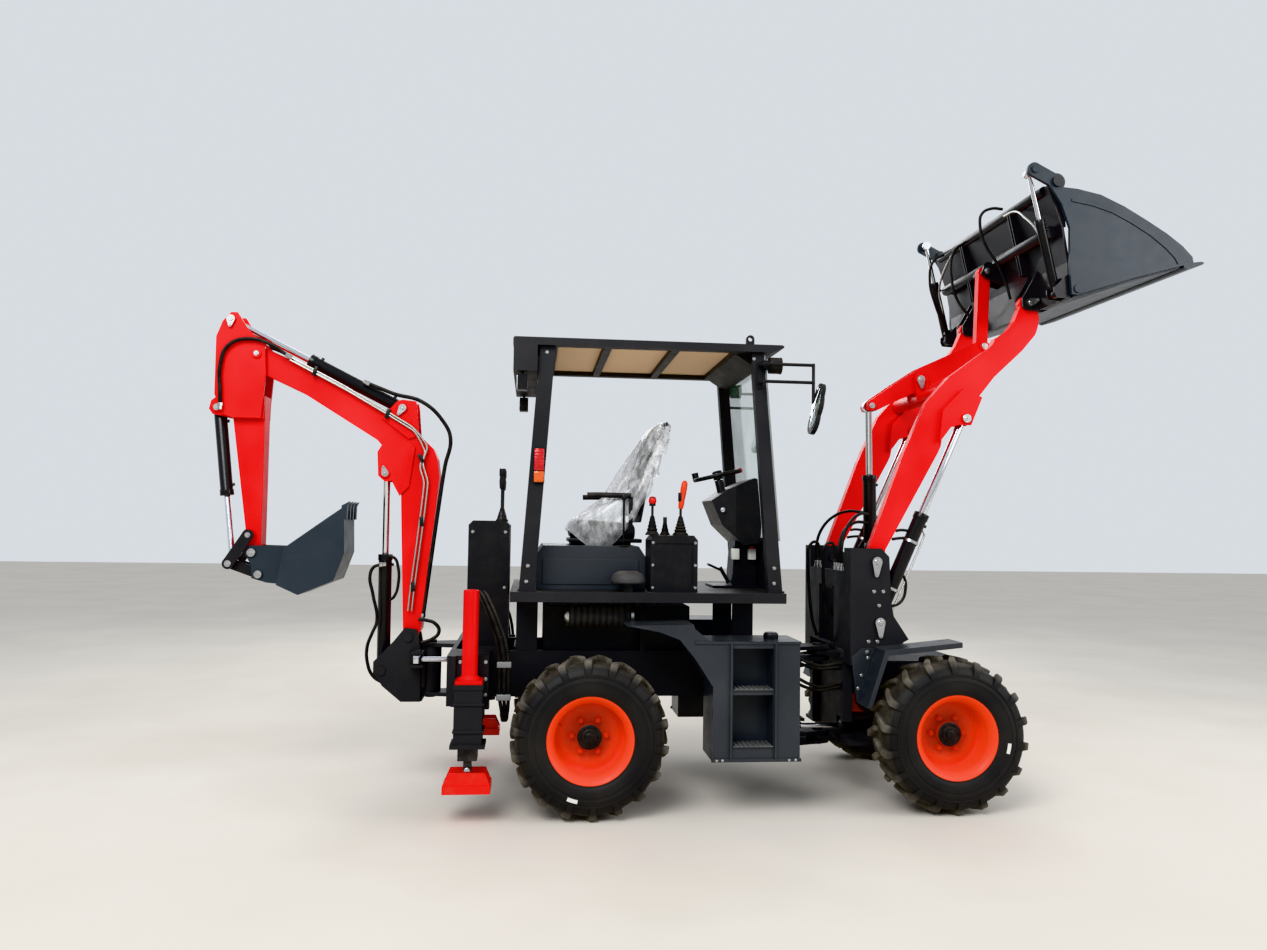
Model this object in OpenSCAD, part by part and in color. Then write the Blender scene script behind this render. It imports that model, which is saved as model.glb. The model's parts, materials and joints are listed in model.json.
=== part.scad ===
// Compact articulated backhoe loader with an open canopy and a split loader bucket.
// x runs forward, y to the machine's left, z up from the ground; sizes in mm.

/* [Wheels and axles] */
// distance between the axles
wheelbase = 1992; // [1850:2150]
// tyre diameter over the lugs
tyre_d = 845; // [800:880]
// tyre section width
tyre_w = 307; // [260:330]
// width over both tyres
over_tyres = 1560; // [1520:1640]
// rim diameter at the bead
rim_d = 430; // [400:450]
// lugs on each shoulder of a tyre
lug_n = 18; // [14:1:20]
// height of a lug
lug_h = 26; // [18:34]
// diameter of the axle tubes
axle_d = 130; // [100:150]
// wheel studs on a hub
stud_n = 6; // [5:1:8]

/* [Frames] */
// half width of the rear frame over its rails
frame_half = 330; // [280:340]
// thickness of a frame rail
rail_t = 30; // [16:40]
// top of the frame rails
frame_top = 835; // [815:850]
// depth of the frame rails
frame_depth = 255; // [220:280]
// distance of the articulation pins behind the front axle
hinge_aft = 552; // [545:560]
// diameter of the articulation pins
hinge_pin_d = 60; // [40:70]
// thickness of the front tower plates
tower_t = 12; // [8:16]
// ground clearance of the frames
clearance = 245; // [230:260]

/* [Deck and canopy] */
// height of the deck plate
deck_top = 1183; // [1170:1200]
// depth of the deck's folded rim
deck_rim = 55; // [40:65]
// half width of the deck
deck_half = 600; // [580:620]
// how far the roof's edge stands inside the deck's
roof_inset = 40; // [30:60]
// height of the roof's top face
roof_top = 2578; // [2500:2640]
// depth of the roof's rim
roof_t = 43; // [35:60]
// thickness of the roof's sheet
roof_skin = 10; // [6:14]
// thickness of a canopy post across the machine
post_w = 60; // [50:70]
// thickness of the windshield pane
glass_t = 6; // [4:8]
// half distance between the mirrors' arms
mirror_half = 612; // [600:630]

/* [Operator station] */
// diameter of the steering wheel
wheel_rim_d = 310; // [300:320]
// diameter of the steering wheel's grip
wheel_grip_d = 24; // [20:30]
// width of the seat
seat_w = 460; // [420:480]

/* [Tank and steps] */
// height of the tank's top plate
tank_top = 925; // [900:940]
// depth of the tank across the machine
tank_depth = 290; // [260:300]
// depth of the step recess
step_depth = 150; // [100:180]

/* [Loader] */
// half distance between the loader arms' centres
arm_half = 400; // [396:402]
// thickness of a loader arm
arm_t = 56; // [50:60]
// loader pin diameter
loader_pin_d = 40; // [30:44]
// half width of the loader bucket
bucket_half = 790; // [780:840]
// thickness of the bucket's plates
bucket_t = 14; // [10:18]

/* [Backhoe] */
// thickness of the boom and the dipper's core
boom_w = 130; // [110:132]
// thickness of the side plates
side_t = 18; // [14:20]
// backhoe pin diameter
hoe_pin_d = 36; // [30:40]
// width of the backhoe bucket
hoe_bucket_w = 320; // [260:400]
// number of bucket teeth
tooth_n = 4; // [3:1:5]

/* [Stabilisers] */
// half distance between the stabiliser legs
leg_half = 700; // [690:710]
// side of the inner leg's square tube
leg_w = 100; // [90:104]
// side of the guide box
guide_w = 155; // [145:160]

/* [Output] */
// subpart to draw

/* [Hidden] */
$fn = 48;
gap = 0.05;
front_tip = 3455;
rear_tip = -2202;
rear_axle_x = -(front_tip + wheelbase - 1992 + rear_tip) / 2;
axle_z = tyre_d / 2;
tyre_y = (over_tyres - tyre_w) / 2;
frame_low = frame_top - frame_depth;
axle_seat = frame_low;
drawn_wheelbase = 1992;
front_shift = wheelbase - drawn_wheelbase;
hinge_x = wheelbase - hinge_aft;
hinge_f = drawn_wheelbase - hinge_aft;
roof_half = deck_half - roof_inset;
post_out = roof_half - 30;
rail_in = frame_half - rail_t;
lug_half = 130;
lug_in_lo = clearance + 25;
lug_in_hi = frame_top - 60;
swing_x = -904;
swing_lo = 560;
swing_hi = 850;
ear_in = boom_w / 2 + 10;
tower_gap = 46;
tower_in = arm_half - tower_gap;
tower_out = arm_half + tower_gap;
tower_base = 800;
arm_pivot = [1650, 1360];
lift_base = [1668, 1013];
lift_tip = [2192, 2203];
tilt_base = [1775, 1440];
rocker_pin = [2069, 2485];
rocker_rear = [1763, 2316];
rocker_front = [2496, 2715];
bucket_pin = [2590, 2905];
link_top = [2517, 3196];
clam_pin = [2574, 3516];
clam_lever = [2444, 3580];
clam_base = [2600, 2894];
clam_y = bucket_half - 69;
cross_tube = [2100, 2370];
boom_foot = [-1029, 882];
boom_base = [-1180, 689];
boom_tip_pin = [-1188, 1834];
dipper_pin = [-1935, 2516];
dipper_base = [-1098, 2221];
dipper_lever = [-2084, 2712];
hoe_base = [-2157, 2200];
hoe_joint = [-2054, 1298];
hoe_rocker_pin = [-1949, 1463];
hoe_pin = [-1930, 1362];
hoe_link_pin = [-1888, 1237];
steer_y = -215;
steer_z = 385;
steer_base = wheelbase - 147;
steer_eye = hinge_x - 190;
swing_y = -150;
swing_z = 763;
swing_base = -300;
swing_eye = -965;
wheel_c = [805, 1864];
wheel_tilt = 13.5;
leg_x = -635;
leg_top = 690;
jack_top = 1200;
pad_w = 245;
muffler = [212 - deck_half, 1040];
neck = hinge_x - 240;
steer_f = drawn_wheelbase - 147;
seat_z = deck_top + 266;
bays = [[-202, 55], [100, 440], [485, 803]];
eye_at = [888, 500];

// Columns of the cylinder table.
BASE = 0;
TIP = 1;
LONG = 2;
BARREL = 3;
ROD = 4;
EYE = 5;
WIDE = 6;
PIN = 7;
START = 8;
lift_cyl = [lift_base, lift_tip, 686, 80, 45, 84, 40, loader_pin_d, 640];
tilt_cyl = [tilt_base, rocker_rear, 444, 80, 40, 76, 44, loader_pin_d, 250];
clam_cyl = [clam_base, clam_lever, 430, 50, 25, 50, 40, 26, 395];
boom_cyl = [boom_base, boom_tip_pin, 669, 76, 38, 80, 60, hoe_pin_d, 610];
dipper_cyl = [dipper_base, dipper_lever, 619, 76, 38, 76, 60, hoe_pin_d, 580];
crowd_cyl = [hoe_base, hoe_joint, 512, 70, 34, 70, 50, hoe_pin_d, 480];

charcoal = [0.17, 0.18, 0.20];
slate = [0.22, 0.25, 0.29];
red = [0.76, 0.10, 0.06];
orange = [0.82, 0.22, 0.10];
black = [0.08, 0.08, 0.09];
chrome = [0.80, 0.80, 0.82];
dusty = [0.16, 0.15, 0.14];
tan_c = [0.72, 0.52, 0.30];

// Places from the rear axle, and the front frame's places as drawn at the standard wheelbase.
module put() translate([rear_axle_x, 0, 0]) children();
module put_front() translate([rear_axle_x + front_shift, 0, 0]) children();
module both() {
    children();
    mirror([0, 1, 0]) children();
}
module box(x0, x1, y0, y1, z0, z1) translate([x0, y0, z0]) cube([x1 - x0, y1 - y0, z1 - z0]);
module plate(pts, y0, y1) translate([0, y1, 0]) rotate([90, 0, 0]) linear_extrude(y1 - y0) polygon(pts);
module ycyl(p, d, y0, y1) translate([p[0], y0, p[1]]) rotate([-90, 0, 0]) cylinder(d = d, h = y1 - y0);
module zcyl(x, y, d, z0, z1) translate([x, y, z0]) cylinder(d = d, h = z1 - z0);
module xcyl(y, z, d, x0, x1) translate([x0, y, z]) rotate([0, 90, 0]) cylinder(d = d, h = x1 - x0);
function turn(p, q) = atan2(q[1] - p[1], q[0] - p[0]);
function far(p, q) = norm(q - p);
// A strap with round ends between two pins.
module strap(p, q, w, y0, y1) translate([0, y1, 0]) rotate([90, 0, 0]) linear_extrude(y1 - y0) {
    translate(p) rotate(turn(p, q)) translate([0, -w * 0.49]) square([far(p, q), w * 0.98]);
    translate(p) circle(d = w);
    translate(q) circle(d = w);
}
module along(p, q, y) translate([p[0], y, p[1]]) rotate([0, -turn(p, q), 0]) children();
// Barrel of a cylinder: bored eye, tube, gland and two ports.
module barrel(c, y, side = 1) difference() {
    union() {
        ycyl(c[BASE], c[EYE], y - c[WIDE] / 2, y + c[WIDE] / 2);
        along(c[BASE], c[TIP], y) {
            xcyl(0, 0, c[BARREL], c[EYE] * 0.42, c[LONG] - 30);
            xcyl(0, 0, c[BARREL] * 1.1, c[LONG] - 34, c[LONG]);
            for (x = [c[EYE] * 0.42 + 50, c[LONG] - 60])
                mirror([0, 0, side * cos(turn(c[BASE], c[TIP])) < 0 ? 1 : 0]) zcyl(x, 0, 18, 0, c[BARREL] / 2 + 12);
        }
    }
    ycyl(c[BASE], c[PIN] + 2 * gap, y - c[WIDE], y + c[WIDE]);
    along(c[BASE], c[TIP], y) xcyl(0, 0, c[ROD] + 2 * gap, c[EYE] / 2 + 12, c[LONG] + 20);
}
// Rod of a cylinder with the eye that holds its own pin.
module rod(c, y) {
    l = far(c[BASE], c[TIP]);
    along(c[BASE], c[TIP], y) xcyl(0, 0, c[ROD], c[START], l - c[EYE] * 0.3);
    ycyl(c[TIP], c[EYE], y - c[WIDE] / 2, y + c[WIDE] / 2);
}
// A pin with heads through both walls of a fork.
module pin(p, d, y0, y1) {
    ycyl(p, d, y0, y1);
    ycyl(p, d * 1.5, y0 - 10, y0);
    ycyl(p, d * 1.5, y1, y1 + 10);
}
// Only the heads of a pin, on the outer sides of a fork's two ears.
module heads(p, d, y0, y1) {
    ycyl(p, d * 1.5, y0 - 10, y0);
    ycyl(p, d * 1.5, y1, y1 + 10);
}

// Wheels.
module lug() {
    r = tyre_d / 2;
    w = tyre_w / 2;
    translate([-43, 0, 0]) rotate([90, 0, 90]) linear_extrude(46)
        polygon([[-w + 3, r - 84], [-w + 2, r - 60], [-w + 22, r - 9], [-w + 50, r - 2.5], [-w + 50, r - 44], [-w + 22, r - 84]]);
    translate([0, 0, r - 46]) linear_extrude(43.5) polygon([[-43, -w + 44], [3, -w + 44], [46, 14], [10, 14]]);
}
module tyre(x, s) color(dusty) put() translate([x, s * tyre_y, axle_z]) {
    r = tyre_d / 2;
    w = tyre_w / 2;
    rotate([90, 0, 0]) rotate_extrude($fn = 64)
        polygon([
            [rim_d / 2, -w + 30], [rim_d / 2 + 18, -w + 14], [r - 84, -w + 1], [r - lug_h - 16, -w + 20], [r - lug_h, -w + 62],
            [r - lug_h, w - 62], [r - lug_h - 16, w - 20], [r - 84, w - 1], [rim_d / 2 + 18, w - 14], [rim_d / 2, w - 30],
        ]);
    start = -atan2(46, r - 2.5);
    for (m = [0, 1], i = [0:lug_n - 1])
        mirror([0, m, 0]) rotate([0, start + (i + m / 2) * 360 / lug_n, 0]) lug();
}
module rim(x, s) color(orange) put() translate([x, s * tyre_y, axle_z]) rotate([s * 90, 0, 0]) difference() {
    w = tyre_w / 2;
    rb = rim_d / 2;
    deep = rb - 26;
    union() {
        rotate_extrude($fn = 64) polygon([
            [rb - 9, 26 - w], [rb + 2, 17 - w], [rb + 14, 9 - w], [rb + 16, 14 - w], [rb - 1, 28 - w], [rb - 1, w - 28],
            [rb + 16, w - 14], [rb + 14, w - 9], [rb + 2, w - 17], [rb - 9, w - 26], [deep, w - 52], [deep, 34], [150, 24],
            [110, 30], [60, 30], [60, 14], [112, 14], [152, 8], [deep, 16], [deep, 52 - w],
        ]);
        translate([0, 0, -36]) cylinder(d = 134, h = 92);
        for (i = [0:stud_n - 1]) rotate([0, 0, i * 360 / stud_n]) translate([93, 0, 0]) cylinder(d = 22, h = 44);
    }
    translate([0, 0, -24]) cylinder(d = 70 + 2 * gap, h = 100);
}

// Rear axle, and the front one with its own place.
module axle(x) color(charcoal) put() {
    ycyl([x, axle_z], axle_d, -tyre_y + 100, tyre_y - 100);
    difference() {
        ycyl([x, axle_z], 330, -95, 95);
        ycyl([x, axle_z], 220, 80, 100);
    }
    both() ycyl([x, axle_z], 250, tyre_y - 160, tyre_y - 70);
    both() ycyl([x, axle_z], 70, tyre_y - 75, tyre_y + 20);
    both() box(x - 55, x + 55, 215, 275, axle_z, axle_seat);
}

// Rear chassis.
module hinge_rear() {
    for (z = [clearance, lug_in_lo + 29, frame_top - 92, frame_top - 25])
        difference() {
            translate([0, 0, z]) linear_extrude(21) {
                translate([hinge_x, 0]) circle(r = 70);
                polygon([[neck - 10, -150], [hinge_x, -70], [hinge_x, 70], [neck - 10, 150]]);
            }
        }
    zcyl(hinge_x, 0, hinge_pin_d, clearance - 12, lug_in_lo + 62);
    zcyl(hinge_x, 0, hinge_pin_d, frame_top - 104, frame_top + 8);
}
module rear_chassis() color(charcoal) put() {
    difference() {
        union() {
            both() box(-760, neck - 30, rail_in, frame_half, frame_low, frame_top);
            box(neck - 30, neck, -frame_half, frame_half, clearance, frame_top);
            box(-760, -735, -leg_half + 80, leg_half - 80, frame_low, frame_top + 10);
            both() box(-735, -540, leg_half - 100, leg_half - 80, frame_low, frame_top + 10);
            both() box(-735, -540, frame_half, leg_half - 100, frame_top - 20, frame_top + 10);
            box(-420, -360, -rail_in, rail_in, frame_low + 10, frame_top - 10);
            box(700, 760, -rail_in, rail_in, frame_low + 10, frame_top - 10);
            both() for (x = [-404, 840]) {
                box(x, x + 120, 295, 310, frame_top, deck_top - deck_rim);
                box(x, x + 120, 295, deck_half - 10, deck_top - deck_rim, deck_top - 6);
            }
            both() box(300, 330, rail_in, frame_half, frame_top, deck_top - 6);
        }
        box(neck - 40, neck + 10, steer_y - 62, steer_y + 62, steer_z - 34, steer_z + 30);
        box(-780, -700, swing_y - 96, swing_y + 96, swing_z - 56, swing_z + 56);
        box(-430, -350, swing_y - 55, swing_y + 55, swing_z - 44, frame_top + 20);
    }
    hinge_rear();
    both() box(neck - 100, neck - 30, rail_in, frame_half, clearance + 60, frame_low);
    for (z = [swing_lo - 22, swing_hi - 28])
        translate([0, 0, z]) linear_extrude(22) {
            translate([swing_x, 0]) circle(r = 62);
            polygon([[-735, -100], [swing_x, -62], [swing_x, 62], [-735, 100]]);
        }
    zcyl(swing_x, 0, 64, swing_lo - 34, swing_hi + 8);
    for (z = [swing_z - 50, swing_z + 34]) box(swing_base - 45, swing_base + 45, -rail_in, swing_y + 45, z, z + 16);
    zcyl(swing_base, swing_y, 36, swing_z - 56, swing_z + 56);
    both() box(-100, 100, 210, rail_in, frame_low, frame_low + 20);
    for (x = [-240, 560]) box(x, x + 30, -rail_in, rail_in, 620, 640);
    box(-690, -455, -200, 200, frame_top - 10, frame_top + 10);
    both() box(-690, -455, 190, rail_in, frame_top - 20, frame_top + 10);
    for (z = [steer_z - 48, steer_z + 32])
        box(neck - 15, steer_eye + 38, steer_y - 40, steer_y + 40, z, z + 16);
    for (z = [steer_z - 56, steer_z + 48]) zcyl(steer_eye, steer_y, 50, z, z + 8);
    both() box(-735, leg_x - guide_w / 2, leg_half - 80, leg_half - 60, frame_low, frame_top + 10);
}
module engine() color(black) put() box(-250, 600, -240, 240, 640, 1080);

// Guides of the stabiliser legs with their red jack tubes.
module stabiliser_guides() color(charcoal) put() both() translate([leg_x, leg_half, 0]) difference() {
    union() {
        box(-guide_w / 2 + 5, guide_w / 2 - 5, -guide_w / 2 + 2, guide_w / 2 - 5, 390, 706);
        box(-guide_w / 2, guide_w / 2, -guide_w / 2, guide_w / 2, 690, 716);
        box(-guide_w / 2 - 12, guide_w / 2 + 12, -guide_w / 2 + 1, guide_w / 2 + 12, 392, 412);
        for (z = [470, 610]) box(-guide_w / 2, guide_w / 2 + 5, -guide_w / 2 + 1, guide_w / 2 + 3, z, z + 12);
    }
    box(-leg_w / 2 - 6, leg_w / 2 + 6, -leg_w / 2 - 6, leg_w / 2 + 6, 412, 700);
    box(-leg_w / 2 - 0.3, leg_w / 2 + 0.3, -leg_w / 2 - 0.3, leg_w / 2 + 0.3, 380, 420);
}
module jack_tubes() color(red) put() both() translate([leg_x, leg_half, 0]) {
    rotate_extrude() polygon([[0, 730], [56, 730], [56, 742], [41, 756], [41, jack_top - 5], [35, jack_top], [0, jack_top]]);
    difference() {
        box(-guide_w / 2 + 8, guide_w / 2 - 8, -guide_w / 2 + 8, guide_w / 2 - 8, 716, 734);
        for (x = [-1, 1], y = [-1, 1]) zcyl(x * 56, y * 56, 12, 700, 740);
    }
}
module leg(s) color(red) put() translate([leg_x, s * leg_half, 0]) {
    difference() {
        box(-leg_w / 2, leg_w / 2, -leg_w / 2, leg_w / 2, 324, leg_top);
        box(-leg_w / 2 + 8, leg_w / 2 - 8, -leg_w / 2 + 8, leg_w / 2 - 8, 420, leg_top + 10);
    }
    difference() {
        box(-20, 20, -36, 36, 255, 330);
        box(-30, 30, -14, 14, 240, 300);
    }
    translate([0, 0, 0]) ycyl([0, 275], 26, -50, 50);
    box(-12, 12, -12, 12, 200, 290);
    difference() {
        box(-pad_w / 2, pad_w / 2, -90, 90, 165, 205);
        for (x = [-80, 80]) box(x - 30, x + 30, -70, 70, 180, 210);
    }
    for (y = [-70, 60]) plate([[-pad_w / 2, 200], [pad_w / 2, 200], [pad_w / 2 - 30, 268], [-pad_w / 2 + 30, 268]], y, y + 10);
}

// Deck, canopy and glass.
module deck() color(charcoal) put() difference() {
    box(-437, 1083, -deck_half, deck_half, deck_top - deck_rim, deck_top);
    box(-429, 1075, -deck_half + 8, deck_half - 8, deck_top - deck_rim - 1, deck_top - 6);
}
module post(b, t, wb, wt) plate([[b, deck_top], [b + wb, deck_top], [t + wt, roof_top - roof_t], [t, roof_top - roof_t]],
    post_out - post_w, post_out);
module canopy() color(charcoal) put() {
    both() post(-391, -300, 85, 85);
    both() post(1000, 893, 78, 67);
    both() for (x = [-398, 992]) box(x, x + 94, post_out - post_w - 12, post_out + 14, deck_top, deck_top + 10);
    box(-330, -290, -post_out + post_w, post_out - post_w, roof_top - roof_t - 44, roof_top - roof_t);
    plate([[812, roof_top - roof_t], [958, roof_top - roof_t], [964, roof_top - roof_t - 70], [930, roof_top - roof_t - 78]],
        -post_out + post_w, post_out - post_w);
    box(1046, 1052, -post_out + post_w, post_out - post_w, deck_top, 1473);
}
module roof() color(charcoal) put() difference() {
    union() {
        plate([[-448, roof_top - roof_t], [-448, roof_top - 8], [-440, roof_top], [1062, roof_top], [1072, roof_top - 6],
            [1072, roof_top - 14], [1004, roof_top - roof_t]], -roof_half, roof_half);
        difference() {
            box(-445, -313, -roof_half, roof_half, roof_top - 188, roof_top - roof_t);
            box(-434, -300, -roof_half + 10, roof_half - 10, roof_top - 170, roof_top - roof_t);
        }
        box(eye_at[0] - 23, eye_at[0] + 23, -eye_at[1] - 10, -eye_at[1] + 10, roof_top, roof_top + 36);
        ycyl([eye_at[0], roof_top + 38], 46, -eye_at[1] - 10, -eye_at[1] + 10);
    }
    for (x = bays) box(x[0], x[1], -roof_half + 60, roof_half - 60, roof_top - roof_t - 1, roof_top - roof_skin);
    ycyl([eye_at[0], roof_top + 38], 25, -roof_half - 20, 0);
}
module ceiling() color(tan_c) put() for (x = bays)
    box(x[0] + 2, x[1] - 2, -roof_half + 62, roof_half - 62, roof_top - roof_skin - 6, roof_top - roof_skin);
function post_front(z) = 1078 - 118 * (z - deck_top) / (roof_top - roof_t - deck_top);
module windshield() color([0.6, 0.7, 0.72, 0.4]) put()
    plate([[post_front(1473) + 0.3, 1473], [post_front(1473) + glass_t, 1473], [post_front(roof_top - 54) + glass_t, roof_top - 54],
        [post_front(roof_top - 54) + 0.3, roof_top - 54]], -post_out, post_out);

// Operator station.
module seat_hood() color(slate) put() {
    plate([[-300, deck_top], [320, deck_top], [320, deck_top + 190], [282, deck_top + 247], [-262, deck_top + 247],
        [-299, deck_top + 195]], -370, 370);
    for (y = [-376, 370]) plate([[-262, deck_top + 30], [282, deck_top + 30], [282, deck_top + 170], [-262, deck_top + 170]], y, y + 6);
}
module seat() color(black) put() {
    box(-100, 260, -150, 150, deck_top + 247, deck_top + 266);
    plate([[-130, seat_z], [-138, seat_z + 60], [-120, seat_z + 128], [-60, seat_z + 140], [180, seat_z + 118], [330, seat_z + 130],
        [330, seat_z]], -seat_w / 2, seat_w / 2);
    plate([[215, seat_z + 118], [330, seat_z + 118], [470, 2100], [478, 2160], [440, 2190], [390, 2180], [345, 2100], [262, 1850],
        [200, 1680]], -seat_w / 2 + 10, seat_w / 2 - 10);
    for (y = [-seat_w / 2 - 36, seat_w / 2]) {
        plate([[-20, 1700], [240, 1700], [262, 1720], [262, 1745], [-10, 1745], [-30, 1722]], y, y + 36);
        box(232, 262, y, y + 36, 1500, 1705);
    }
}
module control_stand() color(charcoal) put() {
    difference() {
        plate([[335, deck_top], [600, deck_top], [600, 1470], [578, 1497], [357, 1497], [335, 1470]], -500, -240);
        plate([[362, deck_top + 40], [574, deck_top + 40], [574, 1452], [362, 1452]], -501, -494);
    }
    for (l = [[357, -370, 1672, 36, 50], [520, -370, 1700, 30, 62], [440, -300, 1560, 22, 40]]) {
        translate([l[0], l[1], 1497]) cylinder(d1 = l[4], d2 = l[4] * 0.5, h = 62);
        zcyl(l[0], l[1], 14, 1550, l[2]);
        zcyl(l[0], l[1], l[3], l[2] - 10, l[2] + 40);
    }
    zcyl(197, -330, 12, deck_top + 247, 1700);
    zcyl(197, -330, 28, 1695, 1722);
}
module hoe_console() color(black) put() {
    plate([[-690, frame_top + 10], [-455, frame_top + 10], [-455, 1540], [-480, 1565], [-665, 1565], [-690, 1540]], -200, 200);
    for (y = [-120, -40, 40, 120]) {
        translate([-505, y, 1560]) cylinder(d1 = 64, d2 = 30, h = 60);
        zcyl(-505, y, 14, 1610, 1850);
        zcyl(-505, y, 36, 1830, 1872);
    }
}
module console() color(black) put() {
    box(760, 1036, -130, 130, deck_top, deck_top + 14);
    plate([[880, deck_top + 14], [1032, deck_top + 14], [1028, 1480], [900, 1480]], -90, 90);
    difference() {
        plate([[738, 1706], [830, 1772], [990, 1842], [1008, 1838], [1022, 1700], [1034, 1560], [1028, 1454], [930, 1440], [800, 1560]],
            -200, 200);
        for (s = [-1, 1]) translate([740, s * 205, 1400]) rotate([0, 0, s * 12]) box(-100, 500, -34, 34, -100, 500);
    }
    translate([wheel_c[0], 0, wheel_c[1]]) rotate([0, -wheel_tilt, 0]) translate([0, 0, -150]) cylinder(d = 52, h = 120);
    translate([wheel_c[0], 0, wheel_c[1]]) rotate([0, -wheel_tilt, 0]) translate([0, 0, -40]) cylinder(d = 24, h = 48);
    translate([790, -35, 1300]) rotate([0, 24, 0]) box(-50, 46, -32, 32, -6, 6);
    translate([820, -35, 1300]) rotate([0, -30, 0]) box(-10, 10, -9, 9, -104, 4);
}
module steering_wheel() color(black) put() translate([wheel_c[0], 0, wheel_c[1]]) rotate([0, -wheel_tilt, 0]) difference() {
    union() {
        rotate_extrude() translate([wheel_rim_d / 2 - wheel_grip_d / 2, 0]) circle(d = wheel_grip_d);
        translate([0, 0, -26]) cylinder(d = 60, h = 44);
        for (a = [90, 210, 330]) rotate([0, 0, a]) translate([20, -12, -6]) cube([wheel_rim_d / 2 - 35, 24, 10]);
        rotate([0, 0, 150]) translate([wheel_rim_d / 2 - 12, 0, 0]) cylinder(d = 40, h = 46);
    }
    translate([0, 0, -30]) cylinder(d = 24 + 2 * gap, h = 40);
}
module air_cleaner() color(black) put() {
    zcyl(210, 120 - deck_half, 60, deck_top, deck_top + 60);
    translate([210, 120 - deck_half, deck_top]) rotate_extrude() polygon([[0, 44], [92, 44], [98, 52], [98, 70], [84, 96], [52, 112], [0, 112]]);
    for (x = [-105:35:210]) xcyl(muffler[0], muffler[1], 124, x, x + 20);
    xcyl(muffler[0], muffler[1], 108, -120, 240);
    for (x = [-80, 180]) box(x, x + 20, muffler[0] - 10, muffler[0] + 10, muffler[1] + 45, deck_top - 6);
}

// Step tank and mudguard on each side.
module tanks() color(slate) put() both() difference() {
    union() {
        plate([[179, 1019], [540, 1028], [548, 1005], [647, tank_top], [647, 700], [549, 846], [466, 946], [357, 986]],
            750 - tank_depth, 750);
        box(647, 1120, 750 - tank_depth, 750, 305, tank_top);
        box(548, 1125, 742 - tank_depth, 756, tank_top, tank_top + 14);
        zcyl(985, 640, 76, tank_top + 14, tank_top + 34);
        zcyl(985, 640, 62, tank_top + 34, tank_top + 52);
        for (x = [738, 980]) box(x, x + 12, 750, 762, 320, tank_top);
        box(640, 1126, 748, 758, 305, 322);
        box(700, 1060, frame_half, 760 - tank_depth, 700, 760);
    }
    box(755, 975, 751 - step_depth, 780, 382, 655);
    box(755, 975, 751 - step_depth, 780, 681, tank_top - 24);
}

// Lamps and mirrors.
module lamps() color(chrome) put() {
    both() {
        box(-421, -367, post_out - 60, post_out + 10, roof_top - 291, roof_top - 203);
        box(-401, -387, post_out - 32, post_out - 18, roof_top - 203, roof_top - 188);
        xcyl(post_out + 4, roof_top - 114, 92, 990, 1056);
        box(952, 992, post_out, post_out + 30, roof_top - 140, roof_top - 88);
        box(-324, -264, post_out, post_out + 18, 1775, 1967);
    }
}
module mirrors() color(black) put() both() {
    box(922, 950, post_out, post_out + 8, roof_top - 246, roof_top - 100);
    for (z = [roof_top - 118, roof_top - 216]) {
        ycyl([938, z], 18, post_out + 8, mirror_half + 9);
        xcyl(mirror_half, z, 18, 938, 1226);
    }
    zcyl(1226, mirror_half, 18, 2160, roof_top - 109);
    ycyl([1226, 2210], 22, mirror_half, mirror_half + 70);
    translate([1226, mirror_half + 78, 2210]) rotate([0, 12, 0]) rotate([90, 0, 90]) translate([0, 0, -14]) linear_extrude(24) {
        for (p = [[0, 76, 62], [0, -76, 74], [0, 0, 84]]) translate([p[0], p[1]]) circle(r = p[2]);
    }
}

// Front chassis.
tower = [[1495, tower_base], [1604, tower_base], [1841, 917], [1752, 1049], [1740, 1110], [1725, 1389], [1679, 1437],
    [1495, 1437]];
module front_chassis() color(charcoal) put_front() {
    both() {
        for (y = [tower_in - tower_t, tower_out]) plate(tower, y, y + tower_t);
        box(1495, 1510, tower_in, tower_out, tower_base, 1437);
        pin(arm_pivot, loader_pin_d, tower_in - tower_t, tower_out + tower_t);
        pin(lift_base, loader_pin_d, tower_in - tower_t, tower_out + tower_t);
        box(1495, 1640, 260, tower_out + tower_t, 770, tower_base);
        box(1494, 1620, 270, 430, 310, 330);
    }
    difference() {
        box(1495, 1512, -tower_in + tower_t, tower_in - tower_t, tower_base + 45, 1300);
        box(1490, 1520, -150, 150, 860, 1200);
    }
    difference() {
        box(1530, 2280, -280, 280, frame_low, 770);
        box(1560, 2250, -260, 260, frame_low - 10, 740);
    }
    difference() {
        union() {
            box(1530, 1560, -280, 280, 270, frame_low);
            both() box(1494, 1550, 280, 330, 330, 770);
        }
        box(1480, 1600, -340, steer_y + 112, steer_z - 40, steer_z + 40);
    }
    for (y = [-68, 46]) plate([[1680, 770], [1840, 770], [1820, 1440], [1790, 1485], [1750, 1485], [1720, 1440]], y, y + 22);
    box(1512, 1690, -68, 68, 1180, 1210);
    pin(tilt_base, loader_pin_d, -68, 68);
    difference() {
        for (z = [lug_in_lo, frame_top - 58])
            translate([0, 0, z]) linear_extrude(24) {
                translate([hinge_f, 0]) circle(r = 66);
                polygon([[hinge_f, -66], [1540, -140], [1540, 140], [hinge_f, 66]]);
            }
        zcyl(hinge_f, 0, hinge_pin_d + 2 * gap, 0, frame_top + 50);
    }
    for (z = [steer_z - 56, steer_z + 40])
        box(1556, steer_f + 45, steer_y - 45, -96, z, z + 16);
    box(1556, steer_f + 45, -112, -96, steer_z - 40, steer_z + 40);
    zcyl(steer_f, steer_y, 36, steer_z - 62, steer_z + 62);
}
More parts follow.
